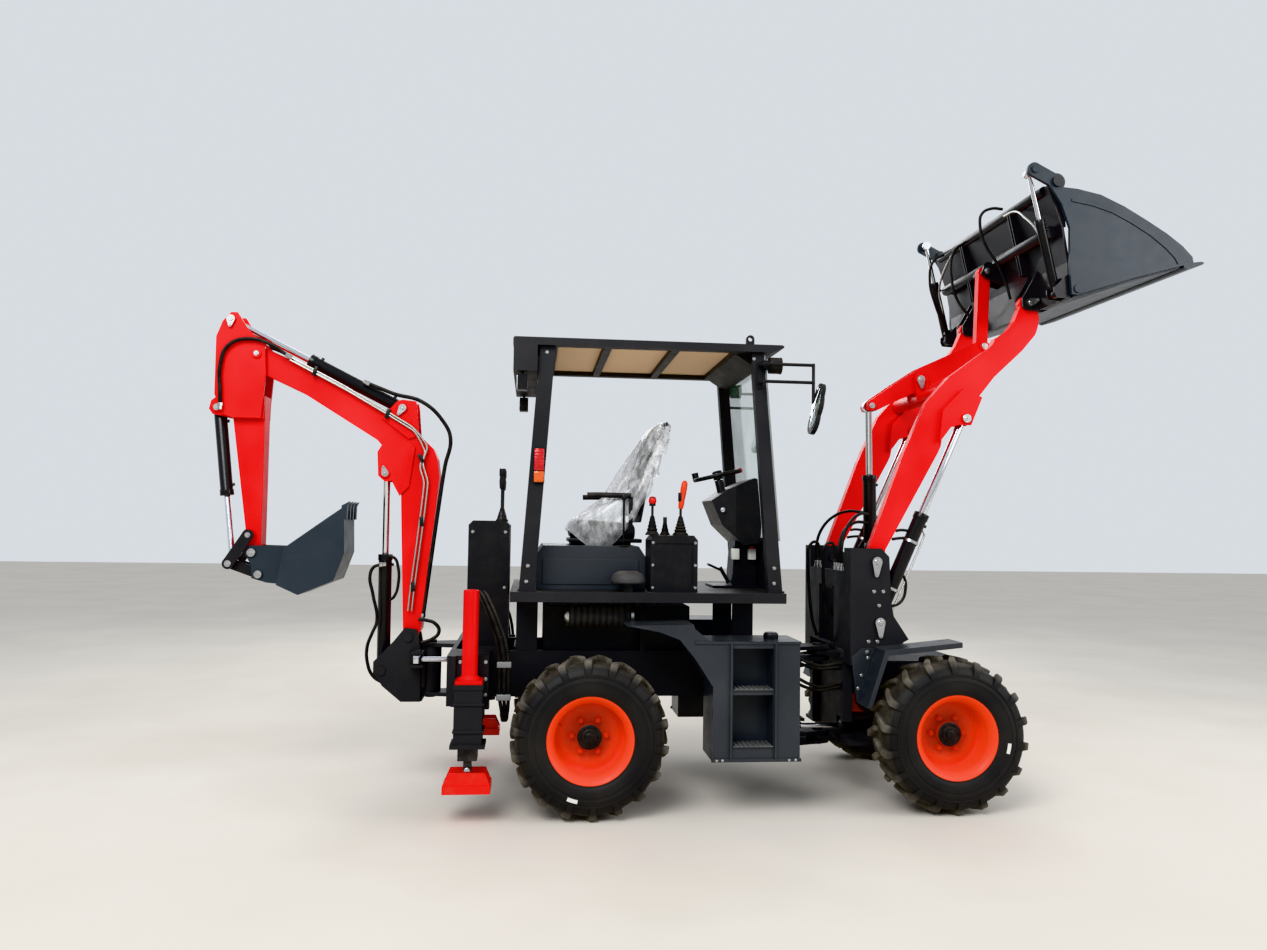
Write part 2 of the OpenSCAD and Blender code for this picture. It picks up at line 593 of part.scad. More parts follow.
module front_mudguards() color(slate) put_front() both() {
    plate([[1532, 560], [1540, 560], [1640, 868], [2080, 915], [2080, 922], [1634, 876]], tower_out + tower_t, 640);
    plate([[1532, 560], [1640, 868], [1560, 868], [1500, 820]], tower_out + tower_t, tower_out + tower_t + 6);
    plate([[1540, 560], [1640, 868], [2080, 915], [2080, 893], [1655, 848], [1560, 560]], 634, 640);
}

// Loader arms, rocker and link.
arm_line = [[1602, 1350], [1622, 1452], [1824, 1995], [1961, 2295], [2099, 2449], [2305, 2600], [2345, 2625], [2372, 2655],
    [2386, 2690], [2424, 2706], [2464, 2739], [2504, 2794], [2537, 2872], [2562, 2934], [2600, 2945], [2640, 2880],
    [2655, 2850], [2660, 2815], [2656, 2784], [2643, 2738], [2631, 2714], [2551, 2620], [2423, 2501], [2376, 2457],
    [2254, 2303], [2167, 2251], [2098, 2150], [2029, 1999], [1712, 1430], [1700, 1340]];
arm_ear = [[2029, 2060], [2098, 2150], [2150, 2165], [2222, 2165], [2240, 2210], [2290, 2330], [2180, 2380], [2050, 2250]];
module arms() color(red) put_front() {
    in = arm_half - arm_t / 2;
    out = arm_half + arm_t / 2;
    both() difference() {
        union() {
            difference() {
                union() {
                    plate(arm_line, in, out);
                    plate(arm_ear, in - 28, out + 28);
                }
                ycyl(lift_tip, 236, in - 20, out + 20);
                plate([[1950, 1590], [2044, 2022], [2064, 2139], [2084, 2164], [2162, 2150], [2100, 1790]], in - 20, out + 20);
            }
            ycyl(arm_pivot, 100, in, out);
            ycyl(bucket_pin, 100, in, out);
            for (y = [in - 28, arm_half + 24]) ycyl(lift_tip, 66, y, y + 32);
            heads(lift_tip, loader_pin_d, in - 28, out + 28);
        }
        ycyl(arm_pivot, loader_pin_d + 2 * gap, 300, 500);
        ycyl(bucket_pin, loader_pin_d + 2 * gap, 300, 500);
    }
    ycyl(cross_tube, 90, -in, in);
    for (y = [-80, 62]) plate([[2050, 2350], [2140, 2350], [2120, 2500], [2095, 2525], [2045, 2525], [2030, 2490]], y, y + 18);
    pin(rocker_pin, loader_pin_d, -80, 80);
}
module rocker() color(red) put_front() difference() {
    union() {
        for (y = [-56, 38]) plate([[1735, 2290], [1735, 2335], [1900, 2450], [2069, 2560], [2330, 2680], [2480, 2755],
            [2530, 2735], [2530, 2690], [2330, 2560], [2069, 2420], [1900, 2340], [1790, 2285]], y, y + 18);
        ycyl(rocker_pin, 80, -56, 56);
        pin(rocker_front, loader_pin_d, -56, 56);
        heads(rocker_rear, loader_pin_d, -56, 56);
    }
    ycyl(rocker_pin, loader_pin_d + 2 * gap, -90, 90);
}
module tilt_link() color(red) put_front() difference() {
    strap(rocker_front, link_top, 76, -26, 26);
    ycyl(rocker_front, loader_pin_d + 2 * gap, -60, 60);
}

// Split bucket: back plate with its ears, and the clam with sides and floor.
module bucket_back() color(slate) put_front() {
    w = bucket_half - 28;
    in = arm_half - arm_t / 2;
    difference() {
        plate([[2532, 3502], [2612, 3270], [2646, 3068], [2650, 2866], [2664, 2866], [2660, 3070], [2626, 3274], [2547, 3506]],
            -w, w);
        both() box(2600, 2700, in - 8, in + arm_t + 8, 2800, 2934);
    }
    ycyl([2548, 3488], 60, -w + 60, w - 60);
    both() {
        for (y = [in - 24, in + arm_t + 8])
            plate([[2548, 2880], [2570, 2862], [2653, 2858], [2652, 3068], [2642, 3100], [2545, 2930]], y, y + 16);
        ycyl([2586, 3255], 70, 58, w - 60);
        for (y = [310, 336]) plate([[2520, 3470], [2560, 3290], [2600, 3096], [2640, 3096], [2612, 3270], [2545, 3480]], y, y + 12);
        pin(bucket_pin, loader_pin_d, in - 24, in + arm_t + 24);
        for (y = [clam_y - 45, clam_y + 31]) plate([[2566, 2894], [2580, 2866], [2652, 2862], [2650, 3000], [2566, 2922]], y, y + 11);
        ycyl(clam_base, 26, clam_y - 45, clam_y + 42);
        ycyl(clam_base, 40, clam_y - 55, clam_y - 45);
        plate([[2532, 3502], [2612, 3270], [2640, 3270], [2620, 3500], [2600, 3548], [2550, 3548]], w - 16, w);
        ycyl(clam_pin, 40, w - 16, bucket_half + 10);
        ycyl(clam_pin, 60, bucket_half + 4, bucket_half + 14);
    }
    for (y = [-58, 40]) plate([[2480, 3180], [2500, 3230], [2540, 3236], [2612, 3270], [2640, 3110], [2520, 3150]], y, y + 18);
    heads(link_top, loader_pin_d, -58, 58);
}
side_line = [[2535, 3494], [2604, 3487], [2696, 3481], [2835, 3454], [2975, 3394], [3114, 3318], [3231, 3249], [3324, 3182],
    [3383, 3122], [3389, 3088], [3016, 2983], [2690, 2877], [2656, 2880], [2646, 3034], [2648, 3256], [2603, 3387]];
side_rib = [[2661, 3423], [2788, 3403], [2904, 3368], [3020, 3313], [3137, 3245], [3230, 3175], [3288, 3118], [3306, 3080],
    [3292, 3075], [3274, 3110], [3220, 3163], [3129, 3232], [3013, 3299], [2899, 3353], [2785, 3387], [2659, 3407]];
module clam() color(slate) put_front() {
    w = bucket_half - bucket_t - 6;
    both() difference() {
        union() {
            plate(side_line, w, bucket_half);
            plate(side_rib, bucket_half - 2, bucket_half + 5);
            strap(clam_pin, clam_lever, 80, w, bucket_half);
            ycyl(clam_pin, 96, w, bucket_half);
            ycyl(clam_lever, 39, bucket_half, bucket_half + 10);
            ycyl(clam_lever, 40, clam_y + 26, bucket_half);
            ycyl([2694, 2912], 50, bucket_half, bucket_half + 8);
        }
        ycyl(clam_pin, 40 + 2 * gap, bucket_half - 60, bucket_half + 60);
    }
    difference() {
        plate([[2674, 2868], [2712, 2872], [3016, 2968], [3261, 3040], [3370, 3074], [3370, 3092], [3261, 3058], [3010, 2986],
            [2708, 2892], [2674, 2888]], -w, w);
        both() box(2660, 2722, arm_half - arm_t / 2 - 8, arm_half + arm_t / 2 + 8, 2800, 2934);
    }
    plate([[3330, 3058], [3350, 3052], [front_tip - 12, 3080], [front_tip, 3090], [front_tip - 14, 3097], [3330, 3082]],
        -w - 20, w + 20);
}

// Swing post, boom, dipper and bucket of the backhoe.
module swing_post() color(charcoal) put() {
    difference() {
        union() {
            zcyl(swing_x, 0, 120, swing_lo + 1, swing_hi - 29);
            for (s = [-1, 1]) plate([[-1224, 676], [-1170, 600], [-1063, 510], [-953, 510], [-960, 826], [-980, 926],
                [-1050, 936], [-1110, 860], [-1224, 740]], s * (ear_in + side_t / 2) - side_t / 2, s * (ear_in + side_t / 2) + side_t / 2);
            box(-1000, -930, -ear_in, ear_in, 590, 800);
            box(-1063, -945, -ear_in, ear_in, 510, 530);
            for (z = [swing_z - 45, swing_z + 30]) translate([0, 0, z]) linear_extrude(15)
                polygon([[swing_eye - 35, swing_y - 32], [swing_eye + 35, swing_y - 32], [-940, -ear_in], [-1020, -ear_in]]);
            for (z = [swing_z - 51, swing_z + 45]) zcyl(swing_eye, swing_y, 48, z, z + 6);
        }
        zcyl(swing_x, 0, 64 + 2 * gap, 500, 900);
    }
    pin(boom_foot, hoe_pin_d, -ear_in - side_t, ear_in + side_t);
    pin(boom_base, hoe_pin_d, -ear_in - side_t, ear_in + side_t);
}
boom_line = [[-1063, 921], [-1040, 845], [-1015, 845], [-960, 921], [-930, 1300], [-900, 1560], [-876, 1821],
    [-890, 1925], [-912, 1982], [-1034, 2101], [-1179, 2178], [-1673, 2455], [-1909, 2560], [-1960, 2560], [-1975, 2490],
    [-1900, 2400], [-1668, 2294], [-1240, 2030], [-1150, 1930], [-1108, 1881], [-1095, 1704]];
module boom() color(charcoal) put() difference() {
    union() {
        plate(boom_line, -boom_w / 2, boom_w / 2);
        ycyl(boom_foot, 92, -boom_w / 2, boom_w / 2);
        ycyl(dipper_pin, 110, -boom_w / 2, boom_w / 2);
        for (y = [-boom_w / 2 - 12, boom_w / 2]) {
            plate([[-1236, 1959], [-1228, 1820], [-1190, 1786], [-1150, 1790], [-1103, 1704], [-1050, 1760], [-1020, 1990],
                [-1150, 2080], [-1200, 2020]], y, y + 12);
            plate([[-1130, 2262], [-1100, 2270], [-1020, 2262], [-1014, 2224], [-1000, 2060], [-1060, 2040], [-1220, 2160]], y, y + 12);
        }
        heads(boom_tip_pin, hoe_pin_d, -boom_w / 2 - 12, boom_w / 2 + 12);
        pin(dipper_base, hoe_pin_d, -boom_w / 2 - 12, boom_w / 2 + 12);
    }
    ycyl(boom_foot, hoe_pin_d + 2 * gap, -200, 200);
    ycyl(dipper_pin, hoe_pin_d + 2 * gap, -200, 200);
    ycyl(boom_tip_pin, 140, -boom_w / 2, boom_w / 2);
}
dipper_side = [[-2085, 2752], [-2130, 2700], [-2164, 2608], [-2163, 2272], [-2120, 2160], [-2064, 2139], [-1900, 2139],
    [-1880, 2400], [-1890, 2560], [-1990, 2660], [-2050, 2752]];
module dipper() color(charcoal) put() {
    w = boom_w / 2 - 10;
    difference() {
        union() {
            plate([[-2095, 2272], [-2090, 2165], [-2064, 2139], [-1973, 1499], [-1985, 1455], [-1968, 1350], [-1900, 1350],
                [-1885, 1406], [-1887, 2272]], -w, w);
            plate([[-2095, 2272], [-2090, 2165], [-2064, 2139], [-1890, 2139], [-1887, 2272]], -ear_in, ear_in);
            ycyl(hoe_pin, 84, -w, w);
            ycyl(hoe_rocker_pin, 74, -w - 20, w + 20);
        }
        ycyl(hoe_pin, hoe_pin_d + 2 * gap, -200, 200);
        ycyl(hoe_rocker_pin, hoe_pin_d + 2 * gap, -200, 200);
    }
    for (y = [-ear_in - side_t, ear_in]) plate(dipper_side, y, y + side_t);
    pin(dipper_pin, hoe_pin_d, -ear_in - side_t, ear_in + side_t);
    heads(dipper_lever, hoe_pin_d, -ear_in - side_t, ear_in + side_t);
    for (y = [-56, 41]) plate([[-2202, 2191], [-2190, 2240], [-2150, 2272], [-2100, 2272], [-2064, 2139], [-2120, 2150], [-2180, 2160]],
        y, y + 15);
    pin(hoe_base, hoe_pin_d, -56, 56);
}
module hoe_rocker() color(charcoal) put() {
    for (y = [-100, 86]) strap(hoe_rocker_pin, hoe_joint, 64, y, y + 14);
    ycyl(hoe_rocker_pin, hoe_pin_d, -100, 100);
    for (y = [[-100, -42], [42, 100]]) ycyl(hoe_joint, hoe_pin_d, y[0], y[1]);
}
module hoe_link() color(charcoal) put() difference() {
    union() {
        for (y = [-56, 42]) strap(hoe_joint, hoe_link_pin, 60, y, y + 14);
        ycyl(hoe_link_pin, 50, -56, 56);
    }
    ycyl(hoe_joint, hoe_pin_d + 2 * gap, -90, 90);
}
module hoe_bucket() color(charcoal) put() {
    h = hoe_bucket_w / 2;
    both() {
        plate([[-1730, 1393], [-1492, 1569], [-1402, 1634], [-1394, 1366], [-1450, 1208], [-1646, 1126], [-1768, 1182]], h - 12, h);
        difference() {
            plate([[-1972, 1362], [-1950, 1402], [-1900, 1404], [-1730, 1400], [-1760, 1182], [-1840, 1190], [-1925, 1215],
                [-1930, 1290]], 63, 79);
            ycyl(hoe_link_pin, 10, 60, 62);
        }
    }
    plate([[-1730, 1393], [-1718, 1385], [-1754, 1190], [-1645, 1140], [-1459, 1216], [-1406, 1368], [-1414, 1625],
        [-1402, 1634], [-1394, 1366], [-1450, 1208], [-1646, 1126], [-1768, 1182]], -h, h);
    pin(hoe_pin, hoe_pin_d, -79, 79);
    heads(hoe_link_pin, hoe_pin_d, -79, 79);
    for (i = [0:tooth_n - 1])
        translate([0, -h + 20 + i * (hoe_bucket_w - 40) / (tooth_n - 1), 0])
            plate([[-1418, 1560], [-1386, 1560], [-1384, 1640], [-1372, 1664], [-1416, 1640]], -20, 20);
}

// Steering and swing cylinders lie level, so they have their own short modules.
module level_barrel(xb, xe, y, z, n, d, rd) difference() {
    s = sign(xe - xb);
    union() {
        zcyl(xb, y, d * 1.1, z - 25, z + 25);
        xcyl(y, z, d, min(xb, xb + s * n), max(xb, xb + s * n));
        xcyl(y, z, d * 1.12, min(xb + s * (n - 30), xb + s * n), max(xb + s * (n - 30), xb + s * n));
    }
    zcyl(xb, y, 36 + 2 * gap, z - 60, z + 60);
    xcyl(y, z, rd + 2 * gap, min(xb + s * 45, xb + s * (n + 20)), max(xb + s * 45, xb + s * (n + 20)));
}
module level_rod(x0, x1, y, z, rd) {
    xcyl(y, z, rd, min(x0, x1), max(x0, x1));
    zcyl(x1, y, rd * 2, z - 22, z + 22);
}
module steer_barrel() color(black) put() level_barrel(steer_base, steer_eye, steer_y, steer_z, 330, 56, 28);
module steer_rod() color(chrome) put() level_rod(steer_base - 180, steer_eye, steer_y, steer_z, 28);
module swing_barrel() color(black) put() level_barrel(swing_base, swing_eye, swing_y, swing_z, 430, 60, 30);
module swing_rod() color(chrome) put() level_rod(swing_base - 215, swing_eye, swing_y, swing_z, 30);

rear_chassis();
engine();
axle(0);  // rear_axle
stabiliser_guides();
jack_tubes();
deck();
canopy();
roof();
ceiling();
windshield();
seat_hood();
seat();
control_stand();
console();
hoe_console();
air_cleaner();
tanks();
lamps();
mirrors();
steering_wheel();
tyre(0, -1);  // tyre_rr
tyre(0, 1);  // tyre_rl
tyre(wheelbase, -1);  // tyre_fr
tyre(wheelbase, 1);  // tyre_fl
rim(0, -1);  // rim_rr
rim(0, 1);  // rim_rl
rim(wheelbase, -1);  // rim_fr
rim(wheelbase, 1);  // rim_fl
front_chassis();
axle(wheelbase);  // front_axle
front_mudguards();
arms();
color(black) put_front() both() barrel(lift_cyl, arm_half, -1);  // lift_barrels
color(chrome) put_front() both() rod(lift_cyl, arm_half);  // lift_rods
color(black) put_front() barrel(tilt_cyl, 0);  // tilt_barrel
color(chrome) put_front() rod(tilt_cyl, 0);  // tilt_rod
rocker();
tilt_link();
bucket_back();
clam();
color(black) put_front() both() barrel(clam_cyl, clam_y);  // clam_barrels
color(chrome) put_front() both() rod(clam_cyl, clam_y);  // clam_rods
steer_barrel();
steer_rod();
swing_post();
swing_barrel();
swing_rod();
boom();
color(black) put() barrel(boom_cyl, 0);  // boom_barrel
color(chrome) put() rod(boom_cyl, 0);  // boom_rod
dipper();
color(black) put() barrel(dipper_cyl, 0);  // dipper_barrel
color(chrome) put() rod(dipper_cyl, 0);  // dipper_rod
color(black) put() barrel(crowd_cyl, 0);  // crowd_barrel
color(chrome) put() rod(crowd_cyl, 0);  // crowd_rod
hoe_rocker();
hoe_link();
hoe_bucket();
leg(-1);  // leg_r
leg(1);  // leg_l
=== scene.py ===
"""Looks of a compact articulated backhoe loader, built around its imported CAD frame.

Lengths are in metres. X runs forward, Y to the machine's left and Z up from the ground. Places in the side view are
written from the rear axle, as on the maker's side elevation, and Machine.at() puts them into the frame.
"""

import json
import logging
import math
import random
from dataclasses import dataclass, field
from enum import Enum
from typing import Callable, Iterable, Sequence

import bmesh
import bpy
from mathutils import Matrix, Vector
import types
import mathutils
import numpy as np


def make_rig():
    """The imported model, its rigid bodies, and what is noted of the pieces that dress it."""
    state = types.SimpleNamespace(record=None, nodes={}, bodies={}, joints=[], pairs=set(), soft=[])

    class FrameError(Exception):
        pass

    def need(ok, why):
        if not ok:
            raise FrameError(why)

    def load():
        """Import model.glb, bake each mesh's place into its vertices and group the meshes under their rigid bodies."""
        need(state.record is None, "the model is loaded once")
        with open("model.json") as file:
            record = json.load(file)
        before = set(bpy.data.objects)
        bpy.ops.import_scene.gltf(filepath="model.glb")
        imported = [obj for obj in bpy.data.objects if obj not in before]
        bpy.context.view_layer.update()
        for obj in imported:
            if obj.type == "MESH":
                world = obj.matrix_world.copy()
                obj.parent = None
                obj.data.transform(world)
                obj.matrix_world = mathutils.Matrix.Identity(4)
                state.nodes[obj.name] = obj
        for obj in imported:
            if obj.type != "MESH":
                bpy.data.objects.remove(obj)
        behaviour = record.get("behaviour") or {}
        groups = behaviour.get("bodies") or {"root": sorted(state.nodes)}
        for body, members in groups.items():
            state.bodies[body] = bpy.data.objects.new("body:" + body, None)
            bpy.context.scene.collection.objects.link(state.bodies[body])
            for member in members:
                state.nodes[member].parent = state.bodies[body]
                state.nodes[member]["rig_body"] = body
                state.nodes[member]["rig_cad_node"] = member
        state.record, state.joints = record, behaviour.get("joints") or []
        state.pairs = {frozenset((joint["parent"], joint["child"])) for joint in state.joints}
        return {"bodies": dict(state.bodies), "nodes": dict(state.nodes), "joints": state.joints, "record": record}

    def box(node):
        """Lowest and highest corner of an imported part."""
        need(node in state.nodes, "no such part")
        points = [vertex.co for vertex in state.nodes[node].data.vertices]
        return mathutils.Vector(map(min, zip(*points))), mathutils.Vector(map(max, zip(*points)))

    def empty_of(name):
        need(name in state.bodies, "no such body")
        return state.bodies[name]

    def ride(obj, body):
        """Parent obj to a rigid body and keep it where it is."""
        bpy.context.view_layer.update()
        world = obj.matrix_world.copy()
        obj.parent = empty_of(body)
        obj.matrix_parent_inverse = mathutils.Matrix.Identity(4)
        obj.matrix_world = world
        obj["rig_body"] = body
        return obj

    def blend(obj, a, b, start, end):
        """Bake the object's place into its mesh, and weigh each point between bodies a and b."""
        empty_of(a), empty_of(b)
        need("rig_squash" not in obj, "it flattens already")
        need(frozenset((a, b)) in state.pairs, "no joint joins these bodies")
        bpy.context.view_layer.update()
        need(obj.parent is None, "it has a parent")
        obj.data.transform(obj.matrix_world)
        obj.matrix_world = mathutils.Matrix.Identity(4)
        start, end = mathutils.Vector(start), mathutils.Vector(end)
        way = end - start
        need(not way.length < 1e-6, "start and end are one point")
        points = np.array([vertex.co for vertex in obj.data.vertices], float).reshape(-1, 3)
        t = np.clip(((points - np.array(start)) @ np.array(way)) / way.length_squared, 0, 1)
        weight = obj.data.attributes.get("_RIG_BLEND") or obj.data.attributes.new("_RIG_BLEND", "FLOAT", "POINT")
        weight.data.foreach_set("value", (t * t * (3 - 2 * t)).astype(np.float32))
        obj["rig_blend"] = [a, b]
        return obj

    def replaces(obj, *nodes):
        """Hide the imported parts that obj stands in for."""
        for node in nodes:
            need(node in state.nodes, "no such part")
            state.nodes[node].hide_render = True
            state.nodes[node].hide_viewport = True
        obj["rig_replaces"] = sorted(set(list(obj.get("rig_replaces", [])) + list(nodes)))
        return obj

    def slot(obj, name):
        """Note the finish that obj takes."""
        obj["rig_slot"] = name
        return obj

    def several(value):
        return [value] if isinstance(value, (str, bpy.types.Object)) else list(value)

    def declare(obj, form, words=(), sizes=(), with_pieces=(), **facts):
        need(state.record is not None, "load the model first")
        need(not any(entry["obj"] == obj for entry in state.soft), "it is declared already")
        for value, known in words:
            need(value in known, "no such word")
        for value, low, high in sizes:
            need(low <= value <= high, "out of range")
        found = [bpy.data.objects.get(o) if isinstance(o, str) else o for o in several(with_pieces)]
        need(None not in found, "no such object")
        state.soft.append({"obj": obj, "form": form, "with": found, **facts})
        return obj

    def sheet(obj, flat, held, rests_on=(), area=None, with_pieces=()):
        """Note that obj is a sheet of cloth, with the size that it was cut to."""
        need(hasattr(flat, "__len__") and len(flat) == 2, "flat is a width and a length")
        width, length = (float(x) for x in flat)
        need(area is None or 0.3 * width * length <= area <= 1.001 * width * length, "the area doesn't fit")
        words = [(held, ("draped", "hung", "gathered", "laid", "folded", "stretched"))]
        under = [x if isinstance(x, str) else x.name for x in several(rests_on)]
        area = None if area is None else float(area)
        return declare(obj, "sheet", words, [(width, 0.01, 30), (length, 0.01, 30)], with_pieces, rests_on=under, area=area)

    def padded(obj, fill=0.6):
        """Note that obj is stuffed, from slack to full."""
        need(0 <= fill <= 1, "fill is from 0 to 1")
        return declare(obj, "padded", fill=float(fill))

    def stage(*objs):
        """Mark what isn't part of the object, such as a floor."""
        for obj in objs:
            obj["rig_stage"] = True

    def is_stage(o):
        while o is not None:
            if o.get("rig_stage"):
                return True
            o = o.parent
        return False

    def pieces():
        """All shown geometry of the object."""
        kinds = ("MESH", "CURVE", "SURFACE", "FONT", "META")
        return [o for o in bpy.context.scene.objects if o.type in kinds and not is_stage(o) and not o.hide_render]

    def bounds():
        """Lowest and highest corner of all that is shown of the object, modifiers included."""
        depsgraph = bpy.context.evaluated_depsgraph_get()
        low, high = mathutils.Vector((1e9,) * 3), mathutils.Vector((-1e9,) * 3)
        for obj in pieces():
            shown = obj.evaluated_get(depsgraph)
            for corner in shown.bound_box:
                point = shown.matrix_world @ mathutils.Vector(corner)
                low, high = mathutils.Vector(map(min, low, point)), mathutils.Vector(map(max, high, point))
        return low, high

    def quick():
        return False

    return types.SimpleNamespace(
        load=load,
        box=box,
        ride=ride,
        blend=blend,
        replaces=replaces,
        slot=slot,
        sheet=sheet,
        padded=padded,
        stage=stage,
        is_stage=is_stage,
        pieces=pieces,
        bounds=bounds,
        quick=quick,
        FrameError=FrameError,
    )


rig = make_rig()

LOG = logging.getLogger("backhoe_loader")
Point = tuple[float, float, float]
Flat = tuple[float, float]
SIZE_FILE = "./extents.json"


class Axis(Enum):
    """The axis that a primitive's length runs along."""

    X = (0.0, math.pi / 2, 0.0)
    Y = (-math.pi / 2, 0.0, 0.0)
    Z = (0.0, 0.0, 0.0)


class Slot(Enum):
    """The record's material slots."""

    CHARCOAL = "charcoal"
    SLATE = "slate"
    RED = "red"
    JACK = "jack_red"
    RIM = "rim_orange"
    TYRE = "tyre"
    BLACK = "black"
    PLASTIC = "plastic"
    CHROME = "chrome"
    GLASS = "glass"
    VINYL = "vinyl"
    LAMP = "lamp"
    HEADLINER = "headliner"


def rgb(red: int, green: int, blue: int) -> tuple[float, float, float, float]:
    """Turns a display colour into the linear colour that shaders take.

    Args:
        red: Red from 0 to 255.
        green: Green from 0 to 255.
        blue: Blue from 0 to 255.

    Returns:
        The linear colour with an alpha of 1.
    """

    def linear(value: int) -> float:
        """Linear value of one channel."""
        part = value / 255.0
        return part / 12.92 if part <= 0.04045 else ((part + 0.055) / 1.055) ** 2.4

    return (linear(red), linear(green), linear(blue), 1.0)


class Graph:
    """A material's node tree, built one node at a time."""

    def __init__(self, name: str) -> None:
        """Starts a material with a Principled shader.

        Args:
            name: Name of the material.
        """
        self.material = bpy.data.materials.new(name)
        self.material.use_nodes = True
        self.tree = self.material.node_tree
        self.tree.nodes.clear()
        self.shader = self.tree.nodes.new("ShaderNodeBsdfPrincipled")
        out = self.tree.nodes.new("ShaderNodeOutputMaterial")
        self.tree.links.new(self.shader.outputs[0], out.inputs[0])
        coords = self.tree.nodes.new("ShaderNodeTexCoord")
        self.place = coords.outputs["Object"]
        self.normal = coords.outputs["Normal"]

    def set(self, **values: object) -> None:
        """Sets or links sockets of the Principled shader, with underscores for spaces.

        Args:
            values: Socket names and their values or the sockets that feed them.
        """
        for key, value in values.items():
            self.feed(self.shader.inputs[key.replace("_", " ")], value)

    def feed(self, socket: bpy.types.NodeSocket, value: object) -> None:
        """Gives a socket a constant or a link.

        Args:
            socket: The input to feed.
            value: A number, a colour or an output socket.
        """
        if isinstance(value, bpy.types.NodeSocket):
            self.tree.links.new(value, socket)
        else:
            socket.default_value = value

    def math(self, kind: str, a: object, b: object = 0.0) -> bpy.types.NodeSocket:
        """One Math node.

        Args:
            kind: The operation.
            a: First value or socket.
            b: Second value or socket.

        Returns:
            The result's socket.
        """
        node = self.tree.nodes.new("ShaderNodeMath")
        node.operation = kind
        self.feed(node.inputs[0], a)
        self.feed(node.inputs[1], b)
        return node.outputs[0]

    def noise(self, scale: float, detail: float = 3.0, rough: float = 0.55, stretch: Point = (1, 1, 1)) -> bpy.types.NodeSocket:
        """A noise pattern on Object coordinates.

        Args:
            scale: Cells in a metre.
            detail: Octaves.
            rough: Share of the finer octaves.
            stretch: Scale of each axis.

        Returns:
            The value's socket, about 0.3 to 0.7.
        """
        mapping = self.tree.nodes.new("ShaderNodeMapping")
        mapping.inputs["Scale"].default_value = stretch
        self.tree.links.new(self.place, mapping.inputs["Vector"])
        node = self.tree.nodes.new("ShaderNodeTexNoise")
        self.tree.links.new(mapping.outputs[0], node.inputs["Vector"])
        node.inputs["Scale"].default_value = scale
        node.inputs["Detail"].default_value = detail
        node.inputs["Roughness"].default_value = rough
        return node.outputs[0]

    def cells(self, scale: float, stretch: Point = (1, 1, 1)) -> bpy.types.NodeSocket:
        """A Voronoi pattern's distance on Object coordinates.

        Args:
            scale: Cells in a metre.
            stretch: Scale of each axis.

        Returns:
            The distance's socket.
        """
        mapping = self.tree.nodes.new("ShaderNodeMapping")
        mapping.inputs["Scale"].default_value = stretch
        self.tree.links.new(self.place, mapping.inputs["Vector"])
        node = self.tree.nodes.new("ShaderNodeTexVoronoi")
        node.inputs["Scale"].default_value = scale
        self.tree.links.new(mapping.outputs[0], node.inputs["Vector"])
        return node.outputs["Distance"]

    def ramp(self, value: bpy.types.NodeSocket, low: float, high: float, start: float = 0.0, end: float = 1.0) -> bpy.types.NodeSocket:
        """Maps a range of values to another one and clamps it.

        Args:
            value: The socket to map.
            low: Value that gives start.
            high: Value that gives end.
            start: First result.
            end: Last result.

        Returns:
            The result's socket.
        """
        node = self.tree.nodes.new("ShaderNodeMapRange")
        self.tree.links.new(value, node.inputs["Value"])
        node.inputs["From Min"].default_value = low
        node.inputs["From Max"].default_value = high
        node.inputs["To Min"].default_value = start
        node.inputs["To Max"].default_value = end
        return node.outputs[0]

    def mix(self, share: object, a: object, b: object) -> bpy.types.NodeSocket:
        """Mixes two colours.

        Args:
            share: Share of the second colour.
            a: First colour or socket.
            b: Second colour or socket.

        Returns:
            The colour's socket.
        """
        node = self.tree.nodes.new("ShaderNodeMix")
        node.data_type = "RGBA"
        self.feed(node.inputs[0], share)
        self.feed(node.inputs[6], a)
        self.feed(node.inputs[7], b)
        return node.outputs[2]

    def radius(self, centre: Point) -> bpy.types.NodeSocket:
        """The distance from a wheel's axis.

        Args:
            centre: The wheel's centre in the frame.

        Returns:
            The distance's socket.
        """
        length = self.tree.nodes.new("ShaderNodeVectorMath")
        length.operation = "LENGTH"
        self.tree.links.new(self.flat(centre), length.inputs[0])
        return length.outputs["Value"]

    def flat(self, centre: Point) -> bpy.types.NodeSocket:
        """The place in a wheel's plane, measured from its axis.

        Args:
            centre: The wheel's centre in the frame.

        Returns:
            The vector's socket.
        """
        shift = self.tree.nodes.new("ShaderNodeMapping")
        shift.inputs["Location"].default_value = (-centre[0], 0.0, -centre[2])
        shift.inputs["Scale"].default_value = (1.0, 0.0, 1.0)
        self.tree.links.new(self.place, shift.inputs["Vector"])
        return shift.outputs[0]

    def axis(self, vector: bpy.types.NodeSocket, letter: str) -> bpy.types.NodeSocket:
        """One axis of a vector.

        Args:
            vector: The vector's socket.
            letter: X, Y or Z.

        Returns:
            The number's socket.
        """
        node = self.tree.nodes.new("ShaderNodeSeparateXYZ")
        self.tree.links.new(vector, node.inputs[0])
        return node.outputs[letter]

    def bump(self, height: bpy.types.NodeSocket, strength: float, distance: float) -> None:
        """Feeds the shader's normal with a bump, on top of one that is there.

        Args:
            height: The height's socket.
            strength: Strength of the bump.
            distance: Height of the bump in metres.
        """
        node = self.tree.nodes.new("ShaderNodeBump")
        node.inputs["Strength"].default_value = strength
        node.inputs["Distance"].default_value = distance
        self.tree.links.new(height, node.inputs["Height"])
        normal = self.shader.inputs["Normal"]
        if normal.is_linked:
            self.tree.links.new(normal.links[0].from_socket, node.inputs["Normal"])
        self.tree.links.new(node.outputs[0], normal)


